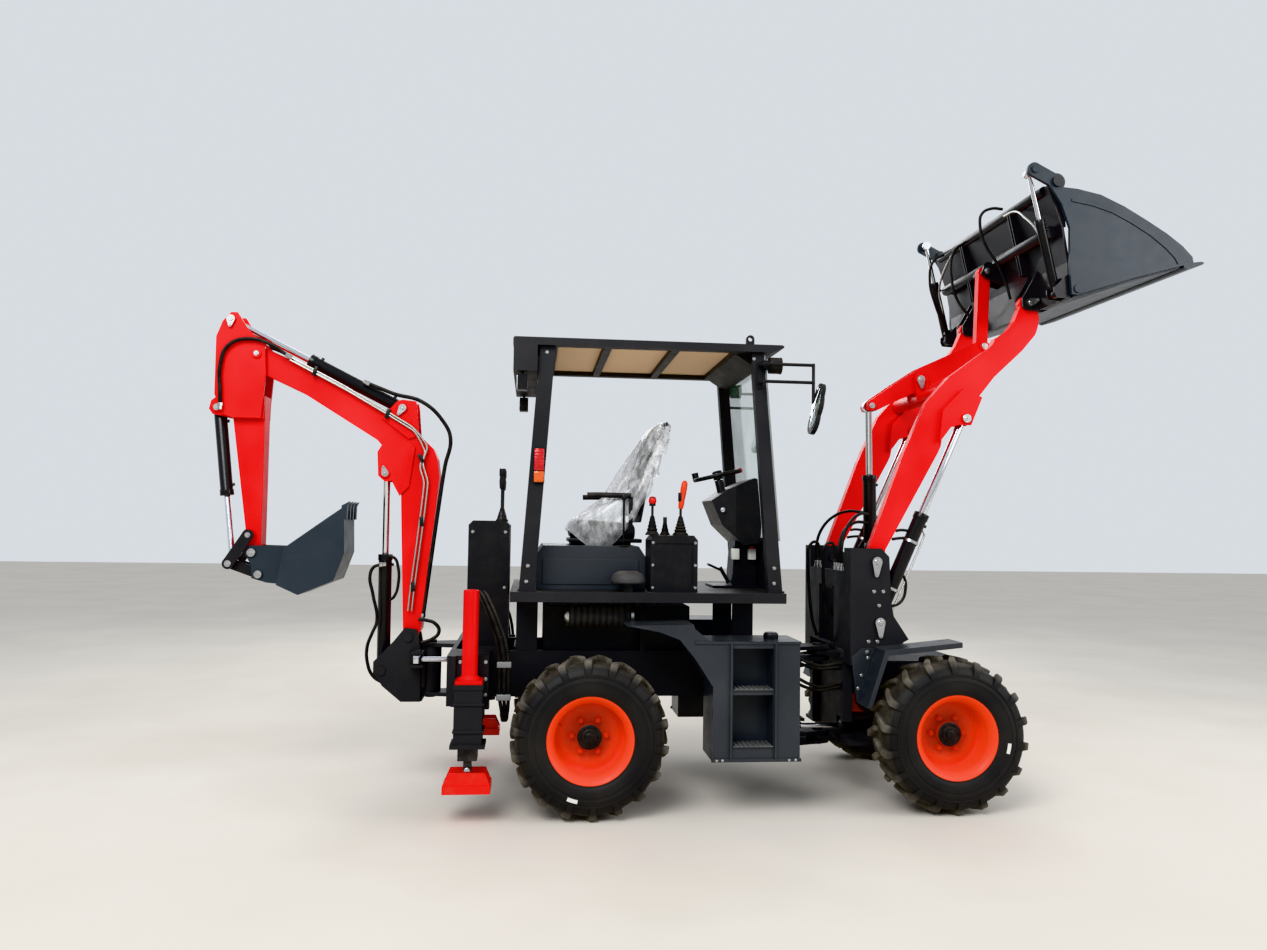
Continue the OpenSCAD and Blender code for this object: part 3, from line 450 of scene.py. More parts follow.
@dataclass(frozen=True)
class Paint:
    """Sprayed paint with a little dust on what faces up."""

    name: str
    colour: tuple[float, float, float, float]
    rough: float = 0.34
    coat: float = 0.35
    dust: float = 0.22
    shine: float = 0.32
    dust_colour: tuple[float, float, float, float] = rgb(150, 140, 124)

    def material(self) -> bpy.types.Material:
        """Builds the paint's material."""
        g = Graph(self.name)
        drift = g.ramp(g.noise(2.2, 2.0), 0.3, 0.7)
        dark = tuple(0.86 * c for c in self.colour[:3]) + (1.0,)
        light = tuple(min(1.0, 1.10 * c + 0.002) for c in self.colour[:3]) + (1.0,)
        body = g.mix(drift, dark, light)
        up = g.ramp(g.axis(g.normal, "Z"), 0.35, 0.95)
        film = g.math("MULTIPLY", up, g.ramp(g.noise(9.0, 5.0, 0.65), 0.35, 0.7))
        specks = g.ramp(g.noise(150.0, 2.0), 0.60, 0.75)
        wall = g.math("MULTIPLY", g.ramp(g.noise(5.0, 6.0, 0.7), 0.5, 0.8), 0.35)
        dirt_and_painted_shade = g.math("MULTIPLY", g.math("ADD", film, g.math("ADD", wall, g.math("MULTIPLY", specks, 0.25))), self.dust)
        g.set(
            Base_Color=g.mix(dirt_and_painted_shade, body, self.dust_colour),
            Roughness=g.math("ADD", g.ramp(g.noise(14.0, 4.0), 0.3, 0.7, self.rough - 0.05, self.rough + 0.07), g.math("MULTIPLY", dirt_and_painted_shade, 0.5)),
            Specular_IOR_Level=self.shine,
            Coat_Weight=self.coat,
            Coat_Roughness=0.12,
        )
        g.bump(g.noise(420.0, 2.0), 0.05, 0.0006)
        g.bump(g.noise(7.0, 1.0), 0.04, 0.01)
        return g.material


@dataclass(frozen=True)
class Metal:
    """Bare or plated metal with fine turning marks and stains."""

    name: str
    colour: tuple[float, float, float, float]
    rough: float = 0.2
    stain: float = 0.2
    stain_colour: tuple[float, float, float, float] = rgb(96, 74, 56)
    grain: Point = (1.0, 1.0, 1.0)

    def material(self) -> bpy.types.Material:
        """Builds the metal's material."""
        g = Graph(self.name)
        spots = g.math("MULTIPLY", g.ramp(g.noise(26.0, 6.0, 0.7), 0.48, 0.72), self.stain)
        g.set(
            Base_Color=g.mix(spots, self.colour, self.stain_colour),
            Metallic=1.0,
            Roughness=g.math("ADD", g.ramp(g.noise(60.0, 4.0, 0.6, self.grain), 0.3, 0.7, self.rough - 0.04, self.rough + 0.08), g.math("MULTIPLY", spots, 0.5)),
        )
        g.bump(g.noise(300.0, 3.0, 0.6, self.grain), 0.06, 0.0005)
        return g.material


@dataclass(frozen=True)
class Plastic:
    """Moulded plastic or rubber with a fine leather grain."""

    name: str
    colour: tuple[float, float, float, float]
    rough: float = 0.5
    grain: float = 900.0
    dust: float = 0.12
    shine: float = 0.35

    def material(self) -> bpy.types.Material:
        """Builds the plastic's material."""
        g = Graph(self.name)
        up = g.ramp(g.axis(g.normal, "Z"), 0.1, 0.95)
        dirt_and_painted_shade = g.math("MULTIPLY", g.math("ADD", up, g.ramp(g.noise(12.0, 5.0, 0.65), 0.45, 0.8)), self.dust)
        g.set(
            Base_Color=g.mix(dirt_and_painted_shade, self.colour, rgb(140, 132, 120)),
            Specular_IOR_Level=self.shine,
            Roughness=g.ramp(g.noise(30.0, 3.0), 0.3, 0.7, self.rough - 0.06, self.rough + 0.08),
        )
        g.bump(g.cells(self.grain), 0.18, 0.0005)
        return g.material


@dataclass(frozen=True)
class Tyre:
    """Tyre rubber: black sidewalls, lugs that picked up dust."""

    name: str
    centre: Point
    tread_start: float = 0.375
    tread_end: float = 0.42

    def material(self) -> bpy.types.Material:
        """Builds the tyre's material, with the dust by the distance from the wheel's axis."""
        g = Graph(self.name)
        tread = g.ramp(g.radius(self.centre), self.tread_start, self.tread_end)
        patches = g.ramp(g.noise(11.0, 6.0, 0.65), 0.34, 0.66)
        wall_dust = g.math("MULTIPLY", g.ramp(g.noise(4.0, 3.0, 0.5), 0.3, 0.8), 0.05)
        dust = g.math("ADD", g.math("MULTIPLY", tread, g.math("ADD", g.math("MULTIPLY", patches, 0.45), 0.14)), wall_dust)
        rings = g.tree.nodes.new("ShaderNodeTexWave")
        rings.wave_type = "RINGS"
        rings.rings_direction = "Y"
        rings.inputs["Scale"].default_value = 32.0
        g.tree.links.new(g.flat(self.centre), rings.inputs["Vector"])
        g.set(
            Base_Color=g.mix(dust, rgb(31, 31, 32), rgb(150, 142, 128)),
            Roughness=g.ramp(dust, 0.0, 0.8, 0.55, 0.88),
            Specular_IOR_Level=0.3,
        )
        g.bump(g.noise(260.0, 4.0), 0.25, 0.001)
        g.bump(rings.outputs[1], 0.06, 0.001)
        return g.material


@dataclass(frozen=True)
class Rim:
    """Wheel paint with painted shade, darker towards the hub."""

    name: str
    centre: Point
    colour: tuple[float, float, float, float]

    def material(self) -> bpy.types.Material:
        """Builds the rim's material, with painted shade set by the distance from the wheel's axis."""
        g = Graph(self.name)
        radius = g.radius(self.centre)
        # painted shade: a dark red-brown mixed in towards the hub and blotched by noise
        near = g.ramp(radius, 0.075, 0.205, 0.62, 0.0)
        dirt_and_painted_shade = g.math("MULTIPLY", near, g.ramp(g.noise(16.0, 5.0, 0.7), 0.25, 0.75, 0.7, 1.0))
        dust = g.math("MULTIPLY", g.ramp(g.noise(24.0, 5.0, 0.7), 0.5, 0.8), 0.22)
        g.set(
            Base_Color=g.mix(dust, g.mix(dirt_and_painted_shade, self.colour, rgb(58, 18, 12)), rgb(170, 140, 116)),
            Roughness=g.ramp(g.noise(14.0, 4.0), 0.3, 0.7, 0.38, 0.5),
            Specular_IOR_Level=0.3,
        )
        g.bump(g.noise(300.0, 2.0), 0.05, 0.0006)
        return g.material


@dataclass(frozen=True)
class LegPaint:
    """The stabiliser legs: dark inner tube and link, red pad."""

    name: str
    dark: tuple[float, float, float, float]
    pad: tuple[float, float, float, float]
    pad_top: float = 0.2690

    def material(self) -> bpy.types.Material:
        """Builds the paint, with the pad told from the leg by its height at rest."""
        g = Graph(self.name)
        split = g.ramp(g.axis(g.place, "Z"), self.pad_top, self.pad_top + 0.0006)
        dust = g.math("MULTIPLY", g.ramp(g.noise(18.0, 5.0, 0.7), 0.45, 0.8), 0.25)
        g.set(Base_Color=g.mix(dust, g.mix(split, self.pad, self.dark), rgb(150, 128, 112)), Roughness=0.4, Specular_IOR_Level=0.3)
        g.bump(g.noise(300.0, 2.0), 0.05, 0.0006)
        return g.material


@dataclass(frozen=True)
class Glass:
    """Lightly tinted safety glass."""

    name: str
    colour: tuple[float, float, float, float]
    rough: float = 0.02

    def material(self) -> bpy.types.Material:
        """Builds the glass, see-through by alpha so that it needs no refraction."""
        g = Graph(self.name)
        smear = g.ramp(g.noise(5.0, 5.0, 0.7), 0.4, 0.8, 0.30, 0.42)
        g.set(Base_Color=self.colour, Roughness=self.rough, Alpha=smear, Coat_Weight=1.0, Coat_Roughness=0.02)
        return g.material


@dataclass(frozen=True)
class Film:
    """Crinkled clear wrapping film."""

    name: str

    def material(self) -> bpy.types.Material:
        """Builds the film, whiter along its creases."""
        g = Graph(self.name)
        crease = g.ramp(g.noise(7.0, 2.0, 0.5, (1.0, 1.0, 0.45)), 0.40, 0.62)
        fine = g.ramp(g.noise(26.0, 4.0, 0.6, (1.0, 1.0, 0.5)), 0.35, 0.68)
        veil = g.ramp(g.math("ADD", g.math("MULTIPLY", crease, 0.5), g.math("MULTIPLY", fine, 0.5)), 0.1, 0.95, 0.26, 0.76)
        g.set(
            Base_Color=g.mix(fine, rgb(206, 208, 210), rgb(244, 245, 246)),
            Alpha=veil,
            Roughness=0.2,
            Specular_IOR_Level=0.6,
            Coat_Weight=0.5,
            Coat_Roughness=0.1,
        )
        g.bump(g.noise(34.0, 4.0, 0.6), 0.6, 0.008)
        g.bump(g.noise(11.0, 2.0, 0.5, (1.0, 1.0, 0.5)), 0.7, 0.02)
        return g.material


@dataclass(frozen=True)
class Lens:
    """A moulded lamp lens with fine ribs, lit by what lies behind it."""

    name: str
    colour: tuple[float, float, float, float]
    ribs: float = 110.0

    def material(self) -> bpy.types.Material:
        """Builds the lens."""
        g = Graph(self.name)
        g.set(Base_Color=g.mix(g.ramp(g.noise(60.0, 3.0), 0.3, 0.7), self.colour, tuple(0.7 * c for c in self.colour[:3]) + (1.0,)))
        g.set(Roughness=0.14, Coat_Weight=1.0, Coat_Roughness=0.03, Subsurface_Weight=0.1)
        wave = g.tree.nodes.new("ShaderNodeTexWave")
        wave.bands_direction = "Z"
        wave.inputs["Scale"].default_value = self.ribs / 6.0
        g.tree.links.new(g.place, wave.inputs["Vector"])
        g.bump(wave.outputs[1], 0.5, 0.002)
        return g.material


CHARCOAL = Paint("charcoal_paint", rgb(44, 44, 46), rough=0.50, coat=0.0, dust=0.08, shine=0.24)
SLATE = Paint("slate_paint", rgb(54, 57, 61), rough=0.36, coat=0.08, dust=0.10)
TREAD = Paint("tread_paint", rgb(78, 80, 82), rough=0.45, coat=0.0, dust=0.3)
RED = Paint("red_paint", rgb(214, 10, 5), rough=0.36, coat=0.04, dust=0.02, shine=0.22, dust_colour=rgb(190, 90, 70))
RIM = Paint("rim_paint", rgb(200, 48, 16), rough=0.44, coat=0.04, dust=0.10, dust_colour=rgb(190, 140, 110))
LEG = LegPaint("leg_paint", rgb(44, 44, 46), rgb(214, 22, 12))
GREY = Paint("grey_enamel", rgb(120, 122, 122), rough=0.4, coat=0.1, dust=0.2)
WHITE = Paint("white_label", rgb(214, 214, 208), rough=0.5, coat=0.0, dust=0.12)
CHROME = Metal("chrome_rod", rgb(214, 216, 220), rough=0.12, stain=0.1)
STEEL = Metal("bright_steel", rgb(186, 187, 186), rough=0.28, stain=0.25)
PIPE = Metal("zinc_pipe", rgb(190, 190, 184), rough=0.32, stain=0.15)
WORN = Metal("worn_steel", rgb(128, 124, 118), rough=0.42, stain=0.5)
DARK = Paint("dark_paint", rgb(35, 34, 36), rough=0.34, coat=0.10, dust=0.07)
BARREL = Paint("barrel_paint", rgb(26, 26, 28), rough=0.30, coat=0.14, dust=0.07)
CASE = Plastic("lamp_case", rgb(22, 22, 24), rough=0.35)
BLACK = Plastic("black_plastic", rgb(28, 28, 30), rough=0.42, dust=0.05)
BUCKET = Paint("bucket_paint", rgb(47, 54, 61), rough=0.38, coat=0.06, dust=0.08)
MUFFLER = Paint("muffler_paint", rgb(66, 66, 66), rough=0.6, coat=0.0, dust=0.3)
RUBBER = Plastic("black_rubber", rgb(20, 20, 21), rough=0.62, grain=600.0, shine=0.25)
HOSE = Plastic("hose_rubber", rgb(17, 17, 18), rough=0.5, grain=1500.0, shine=0.3)
HUB = Plastic("hub_black", rgb(20, 20, 21), rough=0.4, grain=300.0)
SEAL = Plastic("seal_rubber", rgb(128, 132, 130), rough=0.6)
TAN = Plastic("tan_lining", rgb(238, 204, 166), rough=0.8, grain=1400.0, dust=0.05)
SEAT = Plastic("seat_vinyl", rgb(30, 30, 32), rough=0.45, grain=1300.0)
KNOB = Plastic("red_knob", rgb(206, 26, 20), rough=0.3, grain=1500.0, dust=0.04)
GRIP = Plastic("orange_grip", rgb(214, 62, 24), rough=0.4, grain=1500.0, dust=0.05)
GLASS = Glass("tinted_glass", rgb(150, 186, 168))
MIRROR = Metal("mirror_silver", rgb(200, 204, 206), rough=0.03, stain=0.02)
CLEAR = Lens("clear_lens", rgb(206, 208, 206))
REAR = Lens("red_lens", rgb(196, 18, 22))
AMBER = Lens("amber_lens", rgb(226, 96, 20))
FILM = Film("clear_film")


@dataclass
class Machine:
    """The loaded frame, its datum and the materials in use."""

    frame: dict
    paints: dict[str, bpy.types.Material] = field(default_factory=dict)

    def __post_init__(self) -> None:
        """Reads the rear axle's place from the frame."""
        low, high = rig.box("rim_rr")
        self.axle_x = (low[0] + high[0]) / 2

    def at(self, x: float, y: float, z: float) -> Point:
        """A place in the frame of a point measured from the rear axle.

        Args:
            x: Distance ahead of the rear axle.
            y: Distance to the left of the middle.
            z: Height over the ground.

        Returns:
            The point in the frame.
        """
        return (self.axle_x + x, y, z)

    def finish(self, look: object) -> bpy.types.Material:
        """The material of a finish, made once.

        Args:
            look: The finish.

        Returns:
            Its material.
        """
        if look.name not in self.paints:
            self.paints[look.name] = look.material()
        return self.paints[look.name]

    def dress(self, node: str, look: object, edge: float = 0.0015) -> None:
        """Gives a CAD node its finish and small rounded edges.

        Args:
            node: The node's name.
            look: Its finish.
            edge: Width of the rounded edges, 0 for none.
        """
        piece = self.frame["nodes"].get(node)
        if piece is None:
            LOG.warning("no node %s", node)
            return
        for place in piece.material_slots:
            place.material = self.finish(look)
        if edge:
            weld = piece.modifiers.new("weld", "WELD")
            weld.merge_threshold = 0.00002
            round_off = piece.modifiers.new("edges", "BEVEL")
            round_off.width = edge
            round_off.segments = 2
            round_off.limit_method = "ANGLE"
            round_off.angle_limit = math.radians(34)
            round_off.use_clamp_overlap = True
        LOG.info("node %s: %s", node, look.name)


@dataclass
class Bench:
    """Where new pieces are modelled: a primitive, shaped in edit mode, then finished and tied to its body."""

    machine: Machine

    def add(self, name: str) -> bpy.types.Object:
        """Names the primitive that was just added and puts it at the origin with its place in its mesh."""
        piece = bpy.context.object
        piece.name = name
        bpy.ops.object.transform_apply(location=True, rotation=True, scale=True)
        return piece

    def box(self, name: str, low: Point, high: Point, edge: float = 0.004, steps: int = 2) -> bpy.types.Object:
        """A block with bevelled edges.

        Args:
            name: Name of the piece.
            low: Lowest corner, in metres from the rear axle.
            high: Highest corner.
            edge: Width of the bevel.
            steps: Segments of the bevel.

        Returns:
            The block.
        """
        bpy.ops.object.select_all(action="DESELECT")
        middle = [(a + b) / 2 for a, b in zip(low, high)]
        bpy.ops.mesh.primitive_cube_add(size=1.0, location=self.machine.at(*middle), scale=[b - a for a, b in zip(low, high)])
        piece = self.add(name)
        bpy.ops.object.mode_set(mode="EDIT")
        bpy.ops.mesh.select_all(action="SELECT")
        bpy.ops.mesh.bevel(offset=edge, segments=steps, affect="EDGES")
        bpy.ops.object.mode_set(mode="OBJECT")
        return piece

    def slab(self, name: str, outline: Sequence[Point], shift: Point) -> bpy.types.Object:
        """A flat outline, extruded.

        Args:
            name: Name of the piece.
            outline: Corners in metres from the rear axle, in order.
            shift: The way and length of the extrusion.

        Returns:
            The slab.
        """
        bpy.ops.object.select_all(action="DESELECT")
        bpy.ops.mesh.primitive_circle_add(vertices=len(outline), fill_type="NGON")
        piece = self.add(name)
        for corner, place in zip(piece.data.vertices, outline):
            corner.co = self.machine.at(*place)
        bpy.ops.object.mode_set(mode="EDIT")
        bpy.ops.mesh.select_all(action="SELECT")
        bpy.ops.mesh.extrude_region_move(TRANSFORM_OT_translate={"value": shift})
        bpy.ops.mesh.select_all(action="SELECT")
        bpy.ops.mesh.normals_make_consistent(inside=False)
        bpy.ops.object.mode_set(mode="OBJECT")
        return piece

    def turned(self, name: str, profile: Sequence[Flat], centre: Point, along: Point, steps: int = 32, closed: bool = False) -> bpy.types.Object:
        """A profile spun about an axis.

        Args:
            name: Name of the piece.
            profile: Distance along the axis and radius of each point.
            centre: A point on the axis, in metres from the rear axle.
            along: The axis, of length 1.
            steps: Steps of a full turn.
            closed: True where the profile is a loop that keeps off the axis.

        Returns:
            The turned piece.
        """
        bpy.ops.object.select_all(action="DESELECT")
        bpy.ops.mesh.primitive_circle_add(vertices=len(profile), fill_type="NOTHING")
        piece = self.add(name)
        axis = Vector(along)
        out = axis.orthogonal().normalized()
        base = Vector(self.machine.at(*centre))
        for corner, (distance, radius) in zip(piece.data.vertices, profile):
            corner.co = base + axis * distance + out * radius
        bpy.ops.object.mode_set(mode="EDIT")
        if not closed:
            work = bmesh.from_edit_mesh(piece.data)
            ends = {0, len(profile) - 1}
            for edge in work.edges:
                edge.select_set({edge.verts[0].index, edge.verts[1].index} == ends)
            bmesh.update_edit_mesh(piece.data)
            bpy.ops.mesh.select_mode(type="EDGE")
            for edge in work.edges:
                edge.select_set({edge.verts[0].index, edge.verts[1].index} == ends)
            bpy.ops.mesh.delete(type="EDGE")
        bpy.ops.mesh.select_mode(type="VERT")
        bpy.ops.mesh.select_all(action="SELECT")
        bpy.ops.mesh.spin(steps=steps, angle=math.tau, center=base, axis=axis)
        bpy.ops.mesh.select_all(action="SELECT")
        bpy.ops.mesh.remove_doubles(threshold=0.00002)
        bpy.ops.mesh.normals_make_consistent(inside=False)
        bpy.ops.object.mode_set(mode="OBJECT")
        return piece

    def skin(self, name: str, place: Callable[[float, float], Point], across: int, around: int, caps: bool = True) -> bpy.types.Object:
        """A grid laid on a surface that closes on itself round its second way.

        Args:
            name: Name of the piece.
            place: Gives a point, in metres from the rear axle, for two numbers from 0 to 1.
            across: Steps along the surface.
            around: Steps round it.
            caps: True to close the two ends.

        Returns:
            The closed piece.
        """
        bpy.ops.object.select_all(action="DESELECT")
        bpy.ops.mesh.primitive_grid_add(x_subdivisions=across, y_subdivisions=around, size=1.0)
        piece = self.add(name)
        for corner in piece.data.vertices:
            corner.co = self.machine.at(*place(corner.co.x + 0.5, corner.co.y + 0.5))
        bpy.ops.object.mode_set(mode="EDIT")
        bpy.ops.mesh.select_all(action="SELECT")
        bpy.ops.mesh.remove_doubles(threshold=0.00002)
        if caps:
            bpy.ops.mesh.fill_holes(sides=0)
        bpy.ops.mesh.select_all(action="SELECT")
        bpy.ops.mesh.normals_make_consistent(inside=False)
        bpy.ops.object.mode_set(mode="OBJECT")
        return piece

    def pipe(self, name: str, route: Sequence[Point], radius: float, bend: float = 0.0, fine: int = 3) -> bpy.types.Object:
        """A round tube along a route.

        Args:
            name: Name of the piece.
            route: Points in metres from the rear axle.
            radius: Radius of the tube.
            bend: Radius of its bends where the stretches are straight, 0 for one smooth curve.
            fine: Steps of a quarter of its section.

        Returns:
            The tube as a mesh.
        """
        points = [Vector(self.machine.at(*p)) for p in route]
        if bend:
            points = self.rounded(points, bend)
        bpy.ops.object.select_all(action="DESELECT")
        bpy.ops.curve.primitive_bezier_curve_add()
        piece = self.add(name)
        line = piece.data.splines[0]
        line.bezier_points.add(len(points) - 2)
        for knot, place in zip(line.bezier_points, points):
            knot.co = place
            knot.handle_left_type = knot.handle_right_type = "AUTO"
        line.resolution_u = 2 if bend else 6
        piece.data.bevel_depth = radius
        piece.data.bevel_resolution = fine
        piece.data.use_fill_caps = True
        bpy.ops.object.convert(target="MESH")
        piece = bpy.context.object
        bpy.ops.object.mode_set(mode="EDIT")
        bpy.ops.mesh.select_all(action="SELECT")
        bpy.ops.mesh.remove_doubles(threshold=0.00001)
        bpy.ops.mesh.normals_make_consistent(inside=False)
        bpy.ops.object.mode_set(mode="OBJECT")
        return piece

    @staticmethod
    def rounded(points: Sequence[Vector], bend: float) -> list[Vector]:
        """Rounds the corners of a route.

        Args:
            points: The route's corners.
            bend: Radius of the rounding.

        Returns:
            The route with three points in place of each corner.
        """
        result = [points[0]]
        for before, here, after in zip(points, points[1:], points[2:]):
            back, ahead = before - here, after - here
            reach = min(bend, 0.45 * back.length, 0.45 * ahead.length)
            start, end = here + back.normalized() * reach, here + ahead.normalized() * reach
            result += [start, (start + end) / 4 + here / 2, end]
        return result + [points[-1]]

    def repeat(self, master: bpy.types.Object, places: Iterable[Matrix]) -> bpy.types.Object:
        """Copies a piece, each copy with its own mesh, and joins the copies to it.

        Args:
            master: The piece, which stays where it is.
            places: One matrix for each copy.

        Returns:
            The joined piece.
        """
        copies = []
        for place in places:
            bpy.ops.object.select_all(action="DESELECT")
            master.select_set(True)
            bpy.context.view_layer.objects.active = master
            bpy.ops.object.duplicate(linked=False)
            bpy.context.object.matrix_world = place @ bpy.context.object.matrix_world
            copies.append(bpy.context.object)
        return self.join(master, copies)

    def join(self, first: bpy.types.Object, others: Iterable[bpy.types.Object]) -> bpy.types.Object:
        """Joins pieces of one look and body into the first of them."""
        bpy.ops.object.select_all(action="DESELECT")
        for piece in (first, *others):
            piece.select_set(True)
        bpy.context.view_layer.objects.active = first
        bpy.ops.object.join()
        bpy.ops.object.transform_apply(location=True, rotation=True, scale=True)
        return first

    def move(self, shift: Point) -> Matrix:
        """The matrix of a shift."""
        return Matrix.Translation(shift)

    def turn(self, angle: float, centre: Point, letter: str = "Y") -> Matrix:
        """The matrix of a turn in degrees about an axis through a point measured from the rear axle."""
        pivot = Matrix.Translation(self.machine.at(*centre))
        return pivot @ Matrix.Rotation(math.radians(angle), 4, letter) @ pivot.inverted()

    def done(self, piece: bpy.types.Object, look: object, body: str, slot: Slot, edge: float = 0.0, smooth: float = 40.0) -> bpy.types.Object:
        """Finishes a piece: rounded edges, shading, material, body and slot.

        Args:
            piece: The piece.
            look: Its finish.
            body: The body that it rides on.
            slot: The record's slot.
            edge: Width of its rounded edges, 0 for none.
            smooth: Angle in degrees under which an edge is shaded smooth.

        Returns:
            The piece.
        """
        bpy.ops.object.select_all(action="DESELECT")
        piece.select_set(True)
        bpy.context.view_layer.objects.active = piece
        if edge:
            round_off = piece.modifiers.new("edges", "BEVEL")
            round_off.width = edge
            round_off.segments = 2
            round_off.limit_method = "ANGLE"
            round_off.angle_limit = math.radians(30)
            bpy.ops.object.modifier_apply(modifier=round_off.name)
        bpy.ops.object.shade_smooth_by_angle(angle=math.radians(smooth))
        piece.data.materials.clear()
        piece.data.materials.append(self.machine.finish(look))
        if body:
            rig.ride(piece, body)
        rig.slot(piece, slot.value)
        LOG.info("piece %s: %d faces, %s, on %s", piece.name, len(piece.data.polygons), look.name, body or "two bodies")
        return piece

    def bolts(self, name: str, places: Sequence[Point], along: Point, size: float, look: object, body: str, slot: Slot) -> bpy.types.Object:
        """Hexagon heads on washers.

        Args:
            name: Name of the piece.
            places: Where each head sits, in metres from the rear axle.
            along: The way that the heads point.
            size: Width of a head over its corners.
            look: Their finish.
            body: The body that they ride on.
            slot: The record's slot.

        Returns:
            The joined heads.
        """
        r = size / 2
        washer = self.turned(name, [(0, 0), (0, 1.25 * r), (0.18 * r, 1.25 * r), (0.25 * r, 1.15 * r), (0.25 * r, 0)], places[0], along, 16)
        head = self.turned(
            name + "_head", [(0.2 * r, 0), (0.2 * r, r), (0.8 * r, r), (0.95 * r, 0.86 * r), (0.95 * r, 0)], places[0], along, 6
        )
        first = self.join(washer, [head])
        base = Vector(places[0])
        self.repeat(first, [self.move(Vector(p) - base) for p in places[1:]])
        return self.done(first, look, body, slot, smooth=25.0)


@dataclass
class Wheels:
    """Four industrial tyres with chevron lugs on steel rims."""

    bench: Bench
    radius: float = 0.4225
    half: float = 0.1535
    bead: float = 0.2095
    lugs: int = 18
    bar: float = 0.043
    stud_circle: float = 0.093
    studs: int = 6
    hub_face: float = 0.036
    places: tuple[tuple[str, float, int], ...] = (("rr", 0.0, -1), ("rl", 0.0, 1), ("fr", 1.992, -1), ("fl", 1.992, 1))
    track: float = 0.6265

    def build(self) -> None:
        """Builds a tyre and a hub at the rear right wheel and copies them to the others."""
        centre = (0.0, -self.track, self.radius)
        for tag, x, angle, ring in (("rr", 0.0, 197.0, 0.313), ("fr", 1.992, 101.0, 0.290)):
            self.label(tag, x, angle, ring)
        tyre = self.carcass(centre)
        self.bench.join(tyre, [self.tread(centre)])
        hub = self.hub(centre)
        nuts = self.nuts(centre)
        band = self.weld(centre)
        for number, (wheel, x, side) in enumerate(self.places):
            body = "wheel_" + wheel
            low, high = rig.box("tyre_" + wheel)
            look = Tyre("tyre_rubber_" + wheel, tuple((a + b) / 2 for a, b in zip(low, high)))
            cover = self.copy(tyre, f"tread_{wheel}", x, -1, number == 3)
            if side > 0:
                cover.data.transform(Matrix.Translation((0, 2 * self.track, 0)))
            self.bench.done(cover, look, body, Slot.TYRE, smooth=32.0)
            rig.replaces(cover, "tyre_" + wheel)
            self.bench.machine.dress("rim_" + wheel, Rim("rim_enamel_" + wheel, look.centre, rgb(236, 66, 22)))
            self.bench.done(self.copy(hub, f"hub_cap_{wheel}", x, side, number == 3), HUB, body, Slot.BLACK)
            self.bench.done(self.copy(nuts, f"wheel_nuts_{wheel}", x, side, number == 3), RIM, body, Slot.RIM, smooth=25.0)
            self.bench.done(self.copy(band, f"rim_weld_{wheel}", x, side, number == 3), RIM, body, Slot.RIM)

    def copy(self, master: bpy.types.Object, name: str, x: float, side: int, last: bool) -> bpy.types.Object:
        """Copies a piece to another wheel, turned half round for the left side.

        Args:
            master: The piece at the rear right wheel.
            name: Name of the copy.
            x: Distance of the wheel ahead of the rear axle.
            side: -1 for the right, 1 for the left.
            last: True to use the master itself.

        Returns:
            The copy.
        """
        piece = master
        if not last:
            bpy.ops.object.select_all(action="DESELECT")
            master.select_set(True)
            bpy.context.view_layer.objects.active = master
            bpy.ops.object.duplicate(linked=False)
            piece = bpy.context.object
        piece.name = name
        half_turn = Matrix.Rotation(math.pi, 4, "Z") if side > 0 else Matrix.Identity(4)
        home = Matrix.Translation(self.bench.machine.at(0.0, 0.0, 0.0))
        piece.data.transform(Matrix.Translation((x, 0, 0)) @ home @ half_turn @ home.inverted())
        return piece

    def carcass(self, centre: Point) -> bpy.types.Object:
        """The tyre's body with the ridges of its sidewalls.

        Args:
            centre: The wheel's centre.

        Returns:
            The carcass.
        """
        w = self.half
        wall = [
            (self.bead, w - 0.034), (self.bead + 0.003, w - 0.021), (0.219, w - 0.016), (0.230, w - 0.0135), (0.233, w - 0.0105),
            (0.240, w - 0.0098), (0.244, w - 0.0072), (0.258, w - 0.0030), (0.274, w - 0.0008), (0.290, w - 0.0004), (0.292, w - 0.0028),
            (0.306, w - 0.0022), (0.308, w - 0.0002), (0.322, w - 0.0020), (0.331, w - 0.0042), (0.333, w - 0.0012), (0.342, w - 0.0014),
            (0.344, w - 0.0062), (0.358, w - 0.0115), (0.374, w - 0.0200), (0.386, w - 0.0330), (0.393, w - 0.0520), (0.3965, w - 0.0800),
        ]
        loop = [(y, r) for r, y in wall] + [(-y, r) for r, y in reversed(wall)]
        return self.bench.turned("tread", loop, centre, (0, 1, 0), 72, closed=True)

    def tread(self, centre: Point) -> bpy.types.Object:
        """The chevron lugs, one lofted bar copied round both shoulders.

        Args:
            centre: The wheel's centre.

        Returns:
            The joined lugs.
        """
        w, top = self.half, self.radius - 0.0002
        # across the tyre, height of the top, height of the root, lead round the tyre, half width at the top and at the root
        rows = [
            (-w + 0.0035, 0.338, 0.322, -0.021, 0.0170, 0.0200), (-w + 0.0030, 0.352, 0.330, -0.021, 0.0180, 0.0215),
            (-w + 0.0080, 0.376, 0.340, -0.021, 0.0190, 0.0235), (-w + 0.0160, 0.398, 0.352, -0.021, 0.0195, 0.0245),
            (-w + 0.0260, 0.411, 0.368, -0.021, 0.0195, 0.0245), (-w + 0.0420, 0.4190, 0.378, -0.019, 0.0195, 0.0245),
            (-0.0760, 0.4207, 0.380, -0.0060, 0.0190, 0.0240), (-0.0420, top, 0.380, 0.0110, 0.0175, 0.0225),
            (-0.0080, top, 0.380, 0.0265, 0.0160, 0.0205), (0.0125, top - 0.0002, 0.380, 0.0330, 0.0120, 0.0165),
        ]

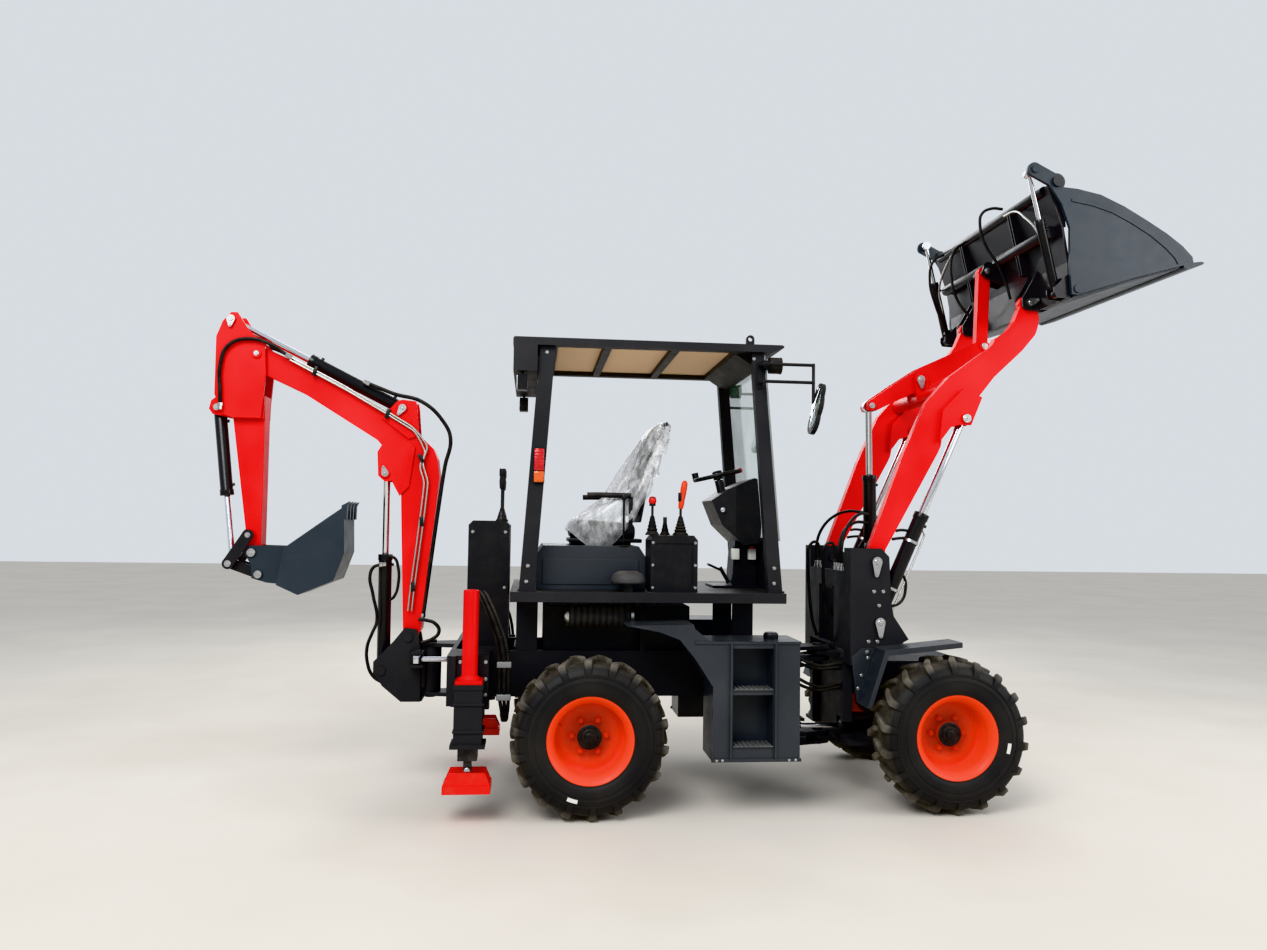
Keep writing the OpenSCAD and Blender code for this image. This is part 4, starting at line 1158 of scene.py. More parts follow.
        def place(u: float, v: float) -> Point:
            """A point of the bar, wrapped round the tyre's axis."""
            y, high, low, lead, crown, root = rows[round(u * (len(rows) - 1))]
            ring = [(lead - root, low), (lead - crown - 0.0012, high - 0.004), (lead - crown + 0.003, high)]
            ring += [(lead + crown - 0.003, high), (lead + crown + 0.0012, high - 0.004), (lead + root, low)]
            along, r = ring[round(v * 6) % 6]
            angle = along / self.radius
            return (centre[0] + r * math.sin(angle), centre[1] + y, centre[2] + r * math.cos(angle))

        bar = self.bench.skin("lug", place, len(rows) - 1, 6)
        step = 360.0 / self.lugs
        self.bench.repeat(bar, [self.bench.turn(step * i, centre) for i in range(1, self.lugs)])
        flip = self.bench.turn(step / 2, centre) @ Matrix.Translation((0, 2 * centre[1], 0)) @ Matrix.Scale(-1, 4, (0, 1, 0))
        self.bench.repeat(bar, [flip])
        bpy.ops.object.mode_set(mode="EDIT")
        bpy.ops.mesh.select_all(action="SELECT")
        bpy.ops.mesh.normals_make_consistent(inside=False)
        bpy.ops.object.mode_set(mode="OBJECT")
        return bar

    def hub(self, centre: Point) -> bpy.types.Object:
        """The black hub's end with its stepped cap.

        Args:
            centre: The wheel's centre.

        Returns:
            The cap.
        """
        face = self.hub_face
        profile = [
            (face - 0.002, 0.0), (face - 0.002, 0.0662), (face + 0.0015, 0.0662), (face + 0.004, 0.063), (face + 0.004, 0.045),
            (face + 0.010, 0.043), (face + 0.012, 0.040), (face + 0.012, 0.026), (face + 0.020, 0.0245), (face + 0.022, 0.021), (face + 0.022, 0.0),
        ]
        cap = self.bench.turned("hub_cap", profile, centre, (0, -1, 0), 40)
        spot = (centre[0] + 0.054, centre[1] - face - 0.003, centre[2])
        screw = self.bench.turned("hub_screw", [(0, 0), (0, 0.0065), (0.005, 0.006), (0.006, 0.004), (0.006, 0)], spot, (0, -1, 0), 6)
        self.bench.repeat(screw, [self.bench.turn(60.0 * i, centre) for i in range(1, 6)])
        return self.bench.join(cap, [screw])

    def nuts(self, centre: Point) -> bpy.types.Object:
        """The wheel nuts with their cones and stud ends.

        Args:
            centre: The wheel's centre.

        Returns:
            The joined nuts.
        """
        spot = (centre[0] + self.stud_circle, centre[1], centre[2])
        cone = self.bench.turned("nuts", [(-0.012, 0), (-0.012, 0.0185), (-0.004, 0.0165), (-0.004, 0)], spot, (0, -1, 0), 24)
        nut = self.bench.turned("nut", [(-0.005, 0), (-0.005, 0.0155), (0.007, 0.0155), (0.0095, 0.0135), (0.0095, 0.0)], spot, (0, -1, 0), 6)
        stud = self.bench.turned("stud", [(0.008, 0), (0.008, 0.0072), (0.016, 0.0072), (0.018, 0.0055), (0.018, 0.0)], spot, (0, -1, 0), 14)
        first = self.bench.join(cone, [nut, stud])
        return self.bench.repeat(first, [self.bench.turn(360.0 / self.studs * i, centre) for i in range(1, self.studs)])

    def weld(self, centre: Point) -> bpy.types.Object:
        """The rim's weld bead round its disc, and the valve.

        Args:
            centre: The wheel's centre.

        Returns:
            The joined pieces.
        """
        bead = [(-0.020 + 0.0045 * math.cos(a), 0.1800 + 0.0045 * math.sin(a)) for a in (i * math.tau / 8 for i in range(8))]
        ring = self.bench.turned("weld", bead, centre, (0, -1, 0), 72, closed=True)
        x, y, z = centre[0] - 0.155, centre[1], centre[2] + 0.060
        stem = self.bench.pipe("valve", [(x, y + 0.03, z), (x, y - 0.01, z), (x + 0.012, y - 0.034, z - 0.004)], 0.0042)
        return self.bench.join(ring, [stem])

    def label(self, tag: str, x: float, clock: float, ring: float) -> None:
        """A small blank label stuck to a sidewall.

        Args:
            tag: The wheel.
            x: Distance of the wheel ahead of the rear axle.
            clock: Place round the wheel in degrees, clockwise from the top as seen from the right.
            ring: Distance from the wheel's axis.
        """
        half_wide, half_high = 0.028, 0.010
        outline = []
        for k in range(9):
            outline.append((half_wide * (1 - k / 4), ring + half_high))
        outline += [(-u, ring - half_high) for u, _ in outline]
        face = -(self.track + self.half) + 0.0006
        places = []
        for u, r in outline:
            angle = math.radians(clock) + u / ring
            places.append((x + r * math.sin(angle), face, self.radius + r * math.cos(angle)))
        patch = self.bench.slab("tyre_label_" + tag, places, (0, -0.0008, 0))
        self.bench.done(patch, WHITE, "wheel_" + tag, Slot.PLASTIC)


@dataclass
class Cab:
    """Lenses, windshield seals and mirror glass of the canopy."""

    bench: Bench
    post_out: float = 0.530
    deck_top: float = 1.183
    post_foot: float = 1.078
    post_lean: float = 0.118 / 1.352
    glass_low: float = 1.473
    glass_high: float = 2.524

    def build(self) -> None:
        """Builds all the pieces of the canopy."""
        self.lamps()
        self.seals()
        self.mirror_glass()
        self.roof_bolts()

    def post_front(self, z: float) -> float:
        """Where the front of the front post is at a height."""
        return self.post_foot - self.post_lean * (z - self.deck_top)

    def lamps(self) -> None:
        """The tail lamps, the rear work lamps' lenses and the head lamps' lenses."""
        bench = self.bench
        for side, tag in ((-1, "r"), (1, "l")):
            y = sorted((side * 0.546, side * 0.5535))
            red = bench.box("tail_red_" + tag, (-0.321, y[0], 1.842), (-0.267, y[1], 1.963), 0.004, 3)
            bench.done(red, REAR, "rear_frame", Slot.LAMP)
            amber = bench.box("tail_amber_" + tag, (-0.321, y[0], 1.779), (-0.267, y[1], 1.838), 0.004, 3)
            bench.done(amber, AMBER, "rear_frame", Slot.LAMP)
            edge = sorted((side * 0.476, side * 0.534))
            work = bench.box("work_lens_" + tag, (-0.426, edge[0], 2.294), (-0.418, edge[1], 2.368), 0.003, 2)
            bench.done(work, CLEAR, "rear_frame", Slot.LAMP)
            face = [(-0.004, 0.0), (-0.004, 0.043), (0.000, 0.043), (0.0065, 0.034), (0.010, 0.020), (0.0112, 0.0)]
            head = bench.turned("head_lens_" + tag, face, (1.056, side * 0.534, 2.464), (1, 0, 0), 36)
            bench.done(head, CLEAR, "rear_frame", Slot.LAMP)
            ring = [(-0.006, 0.0425), (-0.006, 0.0475), (0.003, 0.0475), (0.004, 0.0425)]
            bezel = bench.turned("head_bezel_" + tag, ring, (1.056, side * 0.534, 2.464), (1, 0, 0), 36, closed=True)
            bench.done(bezel, CASE, "rear_frame", Slot.BLACK)

    def seals(self) -> None:
        """Pale rubber seals along the windshield's sides, top and foot."""
        low, high = self.glass_low, self.glass_high
        depth = 0.0105
        for side, tag in ((-1, "r"), (1, "l")):
            outline = [
                (self.post_front(low) + 0.0005, side * 0.5305, low), (self.post_front(low) + depth, side * 0.5305, low),
                (self.post_front(high) + depth, side * 0.5305, high), (self.post_front(high) + 0.0005, side * 0.5305, high),
            ]
            strip = self.bench.slab("seal_side_" + tag, outline, (0, -side * 0.014, 0))
            self.bench.done(strip, SEAL, "rear_frame", Slot.BLACK, 0.0015)
        for z, tag in ((low, "low"), (high - 0.014, "high")):
            x = self.post_front(z + 0.007) + 0.006
            strip = self.bench.box("seal_" + tag, (x - 0.0005, -0.5165, z), (x + 0.005, 0.5165, z + 0.014), 0.0015)
            self.bench.done(strip, SEAL, "rear_frame", Slot.BLACK)

    def mirror_glass(self) -> None:
        """The silvered faces of the two mirrors, on the side that the driver sees."""
        for side, tag in ((-1, "r"), (1, "l")):
            steps = 40

            def outline(k: int) -> Point:
                """A point of the glass's edge, before the leaf's tilt."""
                angle = math.tau * k / steps
                reach = 0.066 + 0.006 * math.cos(angle) ** 2
                return (reach * math.cos(angle), (0.127 + 0.004 * math.cos(2 * angle)) * math.sin(angle), 0.0)

            tilt = Matrix.Rotation(math.radians(12), 4, "Y")
            ring = []
            for k in range(steps):
                y, z, _ = outline(k)
                spot = tilt @ Vector((-0.0155, y, z))
                ring.append((1.226 + spot.x, side * 0.690 + spot.y, 2.210 + spot.z))
            glass = self.bench.slab("mirror_glass_" + tag, ring, tuple(tilt @ Vector((0.002, 0, 0))))
            self.bench.done(glass, MIRROR, "rear_frame", Slot.GLASS, 0.0006)
        return

    def roof_bolts(self) -> None:
        """Bolts that hold the posts' feet to the deck and the head lamps' arms."""
        for side, tag in ((-1, "r"), (1, "l")):
            spots = [(x, side * 0.5305, z) for x, z in ((1.030, 1.235), (1.030, 1.320), (-0.352, 1.235), (-0.345, 1.320), (0.905, 2.500), (-0.262, 2.500))]
            self.bench.bolts("post_bolts_" + tag, spots, (0, side, 0), 0.016, STEEL, "rear_frame", Slot.CHROME)


@dataclass
class Station:
    """The operator's place: padded seat in its wrapping film, levers, boots, steering wheel and dash."""

    bench: Bench
    seat_z: float = 1.449
    half: float = 0.230
    swell: float = 0.014
    pressure: float = 4.0
    voxel: float = 0.009
    frames: int = 20
    film_flat: Flat = (0.92, 1.20)

    def build(self) -> None:
        """Builds the seat, the film, the levers and what is on the dash."""
        cushions = self.seat()
        self.film(cushions)
        self.levers()
        self.hoe_levers()
        self.steering()
        self.dash()

    def pad(self, name: str, spine: Sequence[tuple[float, float, float]], width: float, lean: float) -> bpy.types.Object:
        """A padded form with round sides, lofted along its spine.

        Args:
            name: Name of the pad.
            spine: Place along X, place along Z and half thickness of each section.
            width: Half width of the pad.
            lean: Angle in degrees of the sections' thickness from the vertical.

        Returns:
            The pad.
        """
        tilt = math.radians(lean)
        count = len(spine) - 1

        def place(u: float, v: float) -> Point:
            """A point of the pad's skin."""
            index = min(int(u * count), count - 1)
            share = u * count - index
            x, z, thick = ((1 - share) * a + share * b for a, b in zip(spine[index], spine[index + 1]))
            angle = math.tau * v
            ease = min(1.0, (min(u, 1 - u) * 2 * count + 0.15)) ** 0.4
            wide = width * (0.90 + 0.10 * ease) * math.copysign(abs(math.cos(angle)) ** 0.35, math.cos(angle))
            deep = thick * math.copysign(abs(math.sin(angle)) ** 0.55, math.sin(angle))
            return (x + deep * math.sin(tilt), wide, z + deep * math.cos(tilt))

        return self.bench.skin(name, place, 5 * count, 40)

    def stuff(self, piece: bpy.types.Object) -> None:
        """Puffs a pad up with cloth pressure and keeps each point within a short way of where it was.

        Args:
            piece: The pad.
        """
        bpy.ops.object.select_all(action="DESELECT")
        piece.select_set(True)
        bpy.context.view_layer.objects.active = piece
        mesh = piece.modifiers.new("voxels", "REMESH")
        mesh.mode = "VOXEL"
        mesh.voxel_size = self.voxel
        bpy.ops.object.modifier_apply(modifier=mesh.name)
        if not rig.quick():
            before = [v.co.copy() for v in piece.data.vertices]
            cloth = piece.modifiers.new("cloth", "CLOTH")
            cloth.settings.use_pressure = True
            cloth.settings.uniform_pressure_force = self.pressure
            cloth.settings.effector_weights.gravity = 0.0
            cloth.settings.quality = 4
            for number in range(1, self.frames + 1):
                bpy.context.scene.frame_set(number)
            bpy.ops.object.modifier_apply(modifier=cloth.name)
            bpy.context.scene.frame_set(1)
            for corner, place in zip(piece.data.vertices, before):
                move = corner.co - place
                if move.length > self.swell:
                    corner.co = place + move * (self.swell / move.length)
        smooth = piece.modifiers.new("smooth", "SMOOTH")
        smooth.iterations = 4
        bpy.ops.object.modifier_apply(modifier=smooth.name)

    def seat(self) -> list[bpy.types.Object]:
        """The seat: two pads, a shell behind them and the arms.

        Returns:
            The pieces that the film rests on.
        """
        bench = self.bench
        z = self.seat_z
        base = self.pad("seat_cushion", [(-0.118, z + 0.070, 0.036), (-0.06, z + 0.070, 0.052), (0.10, z + 0.062, 0.048), (0.29, z + 0.060, 0.044)], 0.214, 0)
        back = self.pad(
            "seat_back",
            [(0.262, z + 0.150, 0.026), (0.300, z + 0.30, 0.038), (0.340, 1.90, 0.042), (0.392, 2.06, 0.038), (0.425, 2.158, 0.022)],
            0.200, 78,
        )
        for piece in (base, back):
            self.stuff(piece)
            self.channels(piece)
            bench.done(piece, SEAT, "rear_frame", Slot.VINYL, smooth=60.0)
            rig.padded(piece, fill=0.8)
        curve = [(0.312, z + 0.120), (0.345, z + 0.300), (0.392, 1.900), (0.450, 2.060), (0.470, 2.135), (0.462, 2.165)]
        outline = [(x, -0.205, h) for x, h in curve] + [(x - 0.014, -0.205, h - 0.002) for x, h in reversed(curve)]
        shell = bench.slab("seat_shell", outline, (0, 0.410, 0))
        bench.done(shell, BLACK, "rear_frame", Slot.PLASTIC, 0.004)
        pan = bench.box("seat_pan", (-0.112, -0.205, z - 0.002), (0.318, 0.205, z + 0.022), 0.006)
        bench.done(pan, BLACK, "rear_frame", Slot.PLASTIC)
        rail = bench.box("seat_rail", (-0.098, -0.150, z - 0.019), (0.258, 0.150, z - 0.0005), 0.004)
        bench.done(rail, BLACK, "rear_frame", Slot.PLASTIC)
        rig.replaces(base, "seat")
        for side, tag in ((-1, "r"), (1, "l")):
            y = side * 0.248
            arm = bench.pipe("arm_pad_" + tag, [(-0.010, y, 1.722), (0.060, y, 1.724), (0.160, y, 1.723), (0.244, y, 1.722)], 0.0165, 0.02)
            bench.done(arm, SEAT, "rear_frame", Slot.VINYL, smooth=60.0)
            stay = bench.box("arm_stay_" + tag, (0.234, min(y, y - side * 0.052), 1.500), (0.258, max(y, y - side * 0.020), 1.712), 0.004)
            bench.done(stay, BLACK, "rear_frame", Slot.PLASTIC)
        return [base, back, shell]

    def channels(self, piece: bpy.types.Object) -> None:
        """Presses sewn channels across a pad.

        Args:
            piece: The pad.
        """
        for corner in piece.data.vertices:
            groove = max(0.0, math.cos(corner.co.y / 0.048 * math.pi)) ** 14
            corner.co += Vector((0.003, 0.0, -0.003)) * groove * (1.0 if abs(corner.co.y) < 0.17 else 0.0)

    def film(self, under: Sequence[bpy.types.Object]) -> None:
        """The clear wrapping film, a sheet dropped over the seat's back and cushion.

        Args:
            under: What it falls on.
        """
        bench = self.bench
        wide, long = self.film_flat
        bpy.ops.object.select_all(action="DESELECT")
        cells = 46 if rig.quick() else 84
        tilt = math.radians(-34.0)
        bpy.ops.mesh.primitive_grid_add(x_subdivisions=cells, y_subdivisions=round(cells * wide / long), size=1.0)
        sheet = bench.add("seat_film")
        noise = random.Random(7)
        waves = [(noise.uniform(4, 17), noise.uniform(4, 17), noise.uniform(0, math.tau), noise.uniform(0.002, 0.006)) for _ in range(10)]
        for corner in sheet.data.vertices:
            u, v = corner.co.x * long, corner.co.y * wide
            lift = sum(a * math.sin(p * u + q * v + s) for p, q, s, a in waves)
            corner.co = bench.machine.at(0.215 + u * math.cos(tilt), v, 2.03 - u * math.sin(tilt) + lift)
        for piece in under:
            hit = piece.modifiers.new("hit", "COLLISION")
            piece.collision.thickness_outer = 0.004
            piece.collision.cloth_friction = 30.0
            LOG.info("film falls on %s (%s)", piece.name, hit.name)
        bpy.ops.object.select_all(action="DESELECT")
        sheet.select_set(True)
        bpy.context.view_layer.objects.active = sheet
        cloth = sheet.modifiers.new("cloth", "CLOTH")
        cloth.settings.quality = 5
        cloth.settings.mass = 0.10
        cloth.settings.tension_stiffness = 30.0
        cloth.settings.compression_stiffness = 30.0
        cloth.settings.shear_stiffness = 12.0
        cloth.settings.bending_stiffness = 0.6
        cloth.settings.air_damping = 2.0
        cloth.collision_settings.distance_min = 0.004
        cloth.collision_settings.use_self_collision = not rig.quick()
        cloth.collision_settings.self_distance_min = 0.003
        cloth.point_cache.frame_end = 60
        for number in range(1, 30 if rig.quick() else 52):
            bpy.context.scene.frame_set(number)
        bpy.ops.object.modifier_apply(modifier=cloth.name)
        bpy.context.scene.frame_set(1)
        for piece in under:
            piece.modifiers.remove(piece.modifiers["hit"])
        bench.done(sheet, FILM, "rear_frame", Slot.GLASS, smooth=60.0)
        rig.sheet(sheet, flat=(wide, long), held="draped", rests_on=["seat_cushion", "seat_back"])

    def bellows(self, name: str, foot: Point, wide: float, top: float, height: float, folds: int) -> bpy.types.Object:
        """A rubber boot with folds.

        Args:
            name: Name of the boot.
            foot: The middle of its foot, in metres from the rear axle.
            wide: Radius at the foot.
            top: Radius at the top.
            height: Height of the boot.
            folds: Number of folds.

        Returns:
            The boot.
        """
        profile = [(0.0, 0.0), (0.0, wide + 0.004), (0.004, wide + 0.004)]
        for k in range(folds):
            share = (k + 0.5) / folds
            mean = wide + (top - wide) * share
            profile += [(0.006 + height * (k + 0.25) / folds, mean * 1.06), (0.006 + height * (k + 0.85) / folds, mean * 0.80)]
        profile += [(height + 0.008, top), (height + 0.012, 0.0)]
        return self.bench.turned(name, profile, foot, (0, 0, 1), 28)

    def levers(self) -> None:
        """Boots, knobs and grips of the loader's levers."""
        bench = self.bench
        for number, (x, y, wide, folds) in enumerate(((0.357, -0.370, 0.036, 5), (0.520, -0.370, 0.042, 6), (0.440, -0.300, 0.026, 3))):
            boot = self.bellows(f"lever_boot_{number}", (x, y, 1.4965), wide, 0.012, 0.100 if wide > 0.03 else 0.060, folds)
            bench.done(boot, RUBBER, "rear_frame", Slot.BLACK, smooth=50.0)
        ball = [(-0.024, 0.0), (-0.022, 0.010), (-0.014, 0.0185), (0.0, 0.0225), (0.014, 0.0205), (0.024, 0.013), (0.0285, 0.0)]
        knob = bench.turned("lever_knob", ball, (0.357, -0.370, 1.690), (0, 0, 1), 28)
        bench.done(knob, KNOB, "rear_frame", Slot.PLASTIC, smooth=60.0)
        hood = bench.turned("hood_knob", [(a * 0.72, r * 0.72) for a, r in ball], (0.197, -0.330, 1.7085), (0, 0, 1), 24)
        bench.done(hood, BLACK, "rear_frame", Slot.PLASTIC, smooth=60.0)
        shaft = Vector((0.032, 0.0, 0.205)).normalized()
        shape = [(0.0, 0.0), (0.0, 0.010), (0.006, 0.0135), (0.03, 0.0165), (0.055, 0.0155), (0.08, 0.0175), (0.12, 0.0180), (0.150, 0.0165), (0.162, 0.010), (0.166, 0.0)]
        grip = bench.turned("lever_grip", shape, (0.519, -0.370, 1.648), tuple(shaft), 28)
        bench.done(grip, GRIP, "rear_frame", Slot.PLASTIC, smooth=50.0)
        trim = [(0.0, 0.0), (0.0, 0.050), (0.0035, 0.050), (0.0050, 0.047), (0.0050, 0.0)]
        plate = bench.turned("hood_vent", trim, (0.197, -0.330, 1.4300), (0, 0, 1), 32)
        bench.done(plate, RUBBER, "rear_frame", Slot.BLACK)
        spots = [(x, -0.5005, z) for x in (0.347, 0.587) for z in (1.205, 1.330, 1.455)]
        bench.bolts("stand_bolts", spots, (0, -1, 0), 0.013, STEEL, "rear_frame", Slot.CHROME)

    def hoe_levers(self) -> None:
        """Boots and grips of the four backhoe levers."""
        bench = self.bench
        grip = [(0.0, 0.0), (0.0, 0.009), (0.010, 0.0150), (0.050, 0.0175), (0.070, 0.0150), (0.100, 0.0165), (0.118, 0.010), (0.122, 0.0)]
        for number, y in enumerate((-0.120, -0.040, 0.040, 0.120)):
            boot = self.bellows(f"hoe_boot_{number}", (-0.505, y, 1.5645), 0.030, 0.009, 0.070, 4)
            bench.done(boot, RUBBER, "rear_frame", Slot.BLACK, smooth=50.0)
            handle = bench.turned(f"hoe_grip_{number}", grip, (-0.505, y, 1.7495), (0, 0, 1), 24)
            bench.done(handle, BLACK, "rear_frame", Slot.PLASTIC, smooth=50.0)

    def steering(self) -> None:
        """The steering wheel's red sleeve and boss cap."""
        bench = self.bench
        axis = Vector((-0.23344536, 0.0, 0.97236992))
        ahead = Vector((0.97236992, 0.0, 0.23344536))
        left = Vector((0.0, 1.0, 0.0))
        centre = Vector((0.805, 0.0, 1.864))
        arc = [math.radians(-26 + 52 * k / 12) for k in range(13)]
        route = [tuple(centre + 0.1415 * (ahead * math.cos(a) + left * math.sin(a))) for a in arc]
        sleeve = bench.pipe("wheel_sleeve", route, 0.0155, fine=4)
        bench.done(sleeve, KNOB, "steering_wheel", Slot.PLASTIC, smooth=60.0)
        boss = [(0.0, 0.0), (0.0, 0.030), (0.006, 0.030), (0.011, 0.024), (0.013, 0.0)]
        cap = bench.turned("wheel_boss", boss, tuple(centre + axis * 0.0175), tuple(axis), 32)
        bench.done(cap, BLACK, "steering_wheel", Slot.PLASTIC)

    def dash(self) -> None:
        """A round switch and two small reservoirs with caps."""
        bench = self.bench
        dial = [(0.0, 0.0), (0.0, 0.014), (0.003, 0.014), (0.0035, 0.010), (0.008, 0.009), (0.009, 0.0)]
        switch = bench.turned("dash_switch", dial, (0.800, -0.1995, 1.650), (0, -1, 0), 28)
        bench.done(switch, CHROME, "rear_frame", Slot.CHROME)
        for tag, x0, look in (("a", 0.872, BLACK), ("b", 0.974, KNOB)):
            tank = bench.box("reservoir_" + tag, (x0, -0.128, 1.352), (x0 + 0.048, -0.0895, 1.420), 0.006, 3)
            bench.done(tank, WHITE, "rear_frame", Slot.PLASTIC)
            lid = bench.turned("reservoir_cap_" + tag, [(0, 0), (0, 0.015), (0.011, 0.014), (0.012, 0.0)], (x0 + 0.024, -0.109, 1.4195), (0, 0, 1), 20)
            bench.done(lid, look, "rear_frame", Slot.PLASTIC)


@dataclass
class Pins:
    """Lock plates, washers and grease nipples on the heads of the pins."""

    bench: Bench
    # body, place along X, place along Z, outer face from the middle, radius of the head, length of the tail (0 for a round cap), its turn in degrees
    heads: tuple[tuple[str, float, float, float, float, float, float], ...] = (
        ("front_frame", 1.650, 1.360, 0.4680, 0.029, 2.6, -93.0), ("front_frame", 1.668, 1.013, 0.4680, 0.029, 2.6, -88.0),
        ("arms", 2.192, 2.203, 0.4660, 0.026, 0.0, 0.0), ("rocker", 2.496, 2.715, 0.0660, 0.020, 0.0, 0.0), ("rocker", 1.763, 2.316, 0.0660, 0.019, 0.0, 0.0),
        ("arms", 2.069, 2.485, 0.0900, 0.025, 2.0, -85.0), ("bucket_back", 2.590, 2.905, 0.4620, 0.024, 2.0, 20.0), ("bucket_back", 2.517, 3.196, 0.0680, 0.020, 0.0, 0.0),
        ("boom", -1.188, 1.834, 0.0870, 0.020, 1.9, 105.0), ("boom", -1.098, 2.221, 0.0870, 0.022, 1.9, -120.0), ("dipper", -1.935, 2.516, 0.1030, 0.016, 0.0, 0.0),
        ("dipper", -2.084, 2.712, 0.1030, 0.024, 1.6, -95.0), ("dipper", -2.157, 2.200, 0.0660, 0.019, 0.0, 0.0), ("hoe_rocker", -2.054, 1.298, 0.1000, 0.019, 0.0, 0.0),
        ("hoe_bucket", -1.930, 1.362, 0.0890, 0.024, 0.0, 0.0), ("hoe_bucket", -1.888, 1.237, 0.0890, 0.022, 0.0, 0.0), ("dipper", -1.949, 1.463, 0.1000, 0.016, 0.0, 0.0),
    )

    def build(self) -> None:
        """Builds the right and left lock plate of each pin."""
        for number, (body, x, z, y, radius, tail, turn) in enumerate(self.heads):
            plates = [self.plate(f"lock_plate_{number}_{side}", x, z, side * y, side, radius, tail * radius, turn) for side in (-1, 1)]
            both = self.bench.join(plates[0], plates[1:])
            both.name = f"lock_plates_{number}"
            self.bench.done(both, STEEL, body, Slot.CHROME, smooth=30.0)

    def plate(self, name: str, x: float, z: float, y: float, side: int, radius: float, tail: float, turn: float) -> bpy.types.Object:
        """A drop-shaped plate with its bolt and the pin's end, or a round cap.

        Args:
            name: Name of the plate.
            x: The pin's place ahead of the rear axle.
            z: The pin's height.
            y: Outer face of the pin's head.
            side: -1 on the right, 1 on the left.
            radius: Radius of the plate's round end.
            tail: How far the plate's bolt is from the pin, 0 for a round cap.
            turn: Direction of its tail in degrees.

        Returns:
            The joined plate.
        """
        bench = self.bench
        dome = [(0.004, 0.0), (0.004, 0.58 * radius), (0.0065, 0.58 * radius), (0.0080, 0.50 * radius), (0.0080, 0.16 * radius), (0.0120, 0.12 * radius), (0.0130, 0.0)]
        end = bench.turned(name + "_end", dome, (x, y, z), (0, side, 0), 24)
        if not tail:
            cap = bench.turned(name, [(0, 0), (0, radius), (0.004, radius), (0.0055, 0.92 * radius), (0.0055, 0)], (x, y, z), (0, side, 0), 32)
            return bench.join(cap, [end])
        fine = 16
        small = 0.42 * radius
        slope = math.acos((radius - small) / tail)
        ring = [(radius * math.cos(a), radius * math.sin(a)) for a in (slope + (math.tau - 2 * slope) * k / fine for k in range(fine + 1))]
        ring += [(tail + small * math.cos(a), small * math.sin(a)) for a in (-slope + 2 * slope * k / 6 for k in range(7))]
        turned = math.radians(turn)
        place = [(x + u * math.cos(turned) - v * math.sin(turned), y, z + u * math.sin(turned) + v * math.cos(turned)) for u, v in ring]
        plate = bench.slab(name, place, (0, side * 0.005, 0))
        spot = (x + tail * math.cos(turned), y, z + tail * math.sin(turned))
        bolt = bench.turned(name + "_bolt", [(0.003, 0), (0.003, 0.0065), (0.009, 0.0065), (0.0105, 0.005), (0.0105, 0)], spot, (0, side, 0), 6)
        return bench.join(plate, [end, bolt])


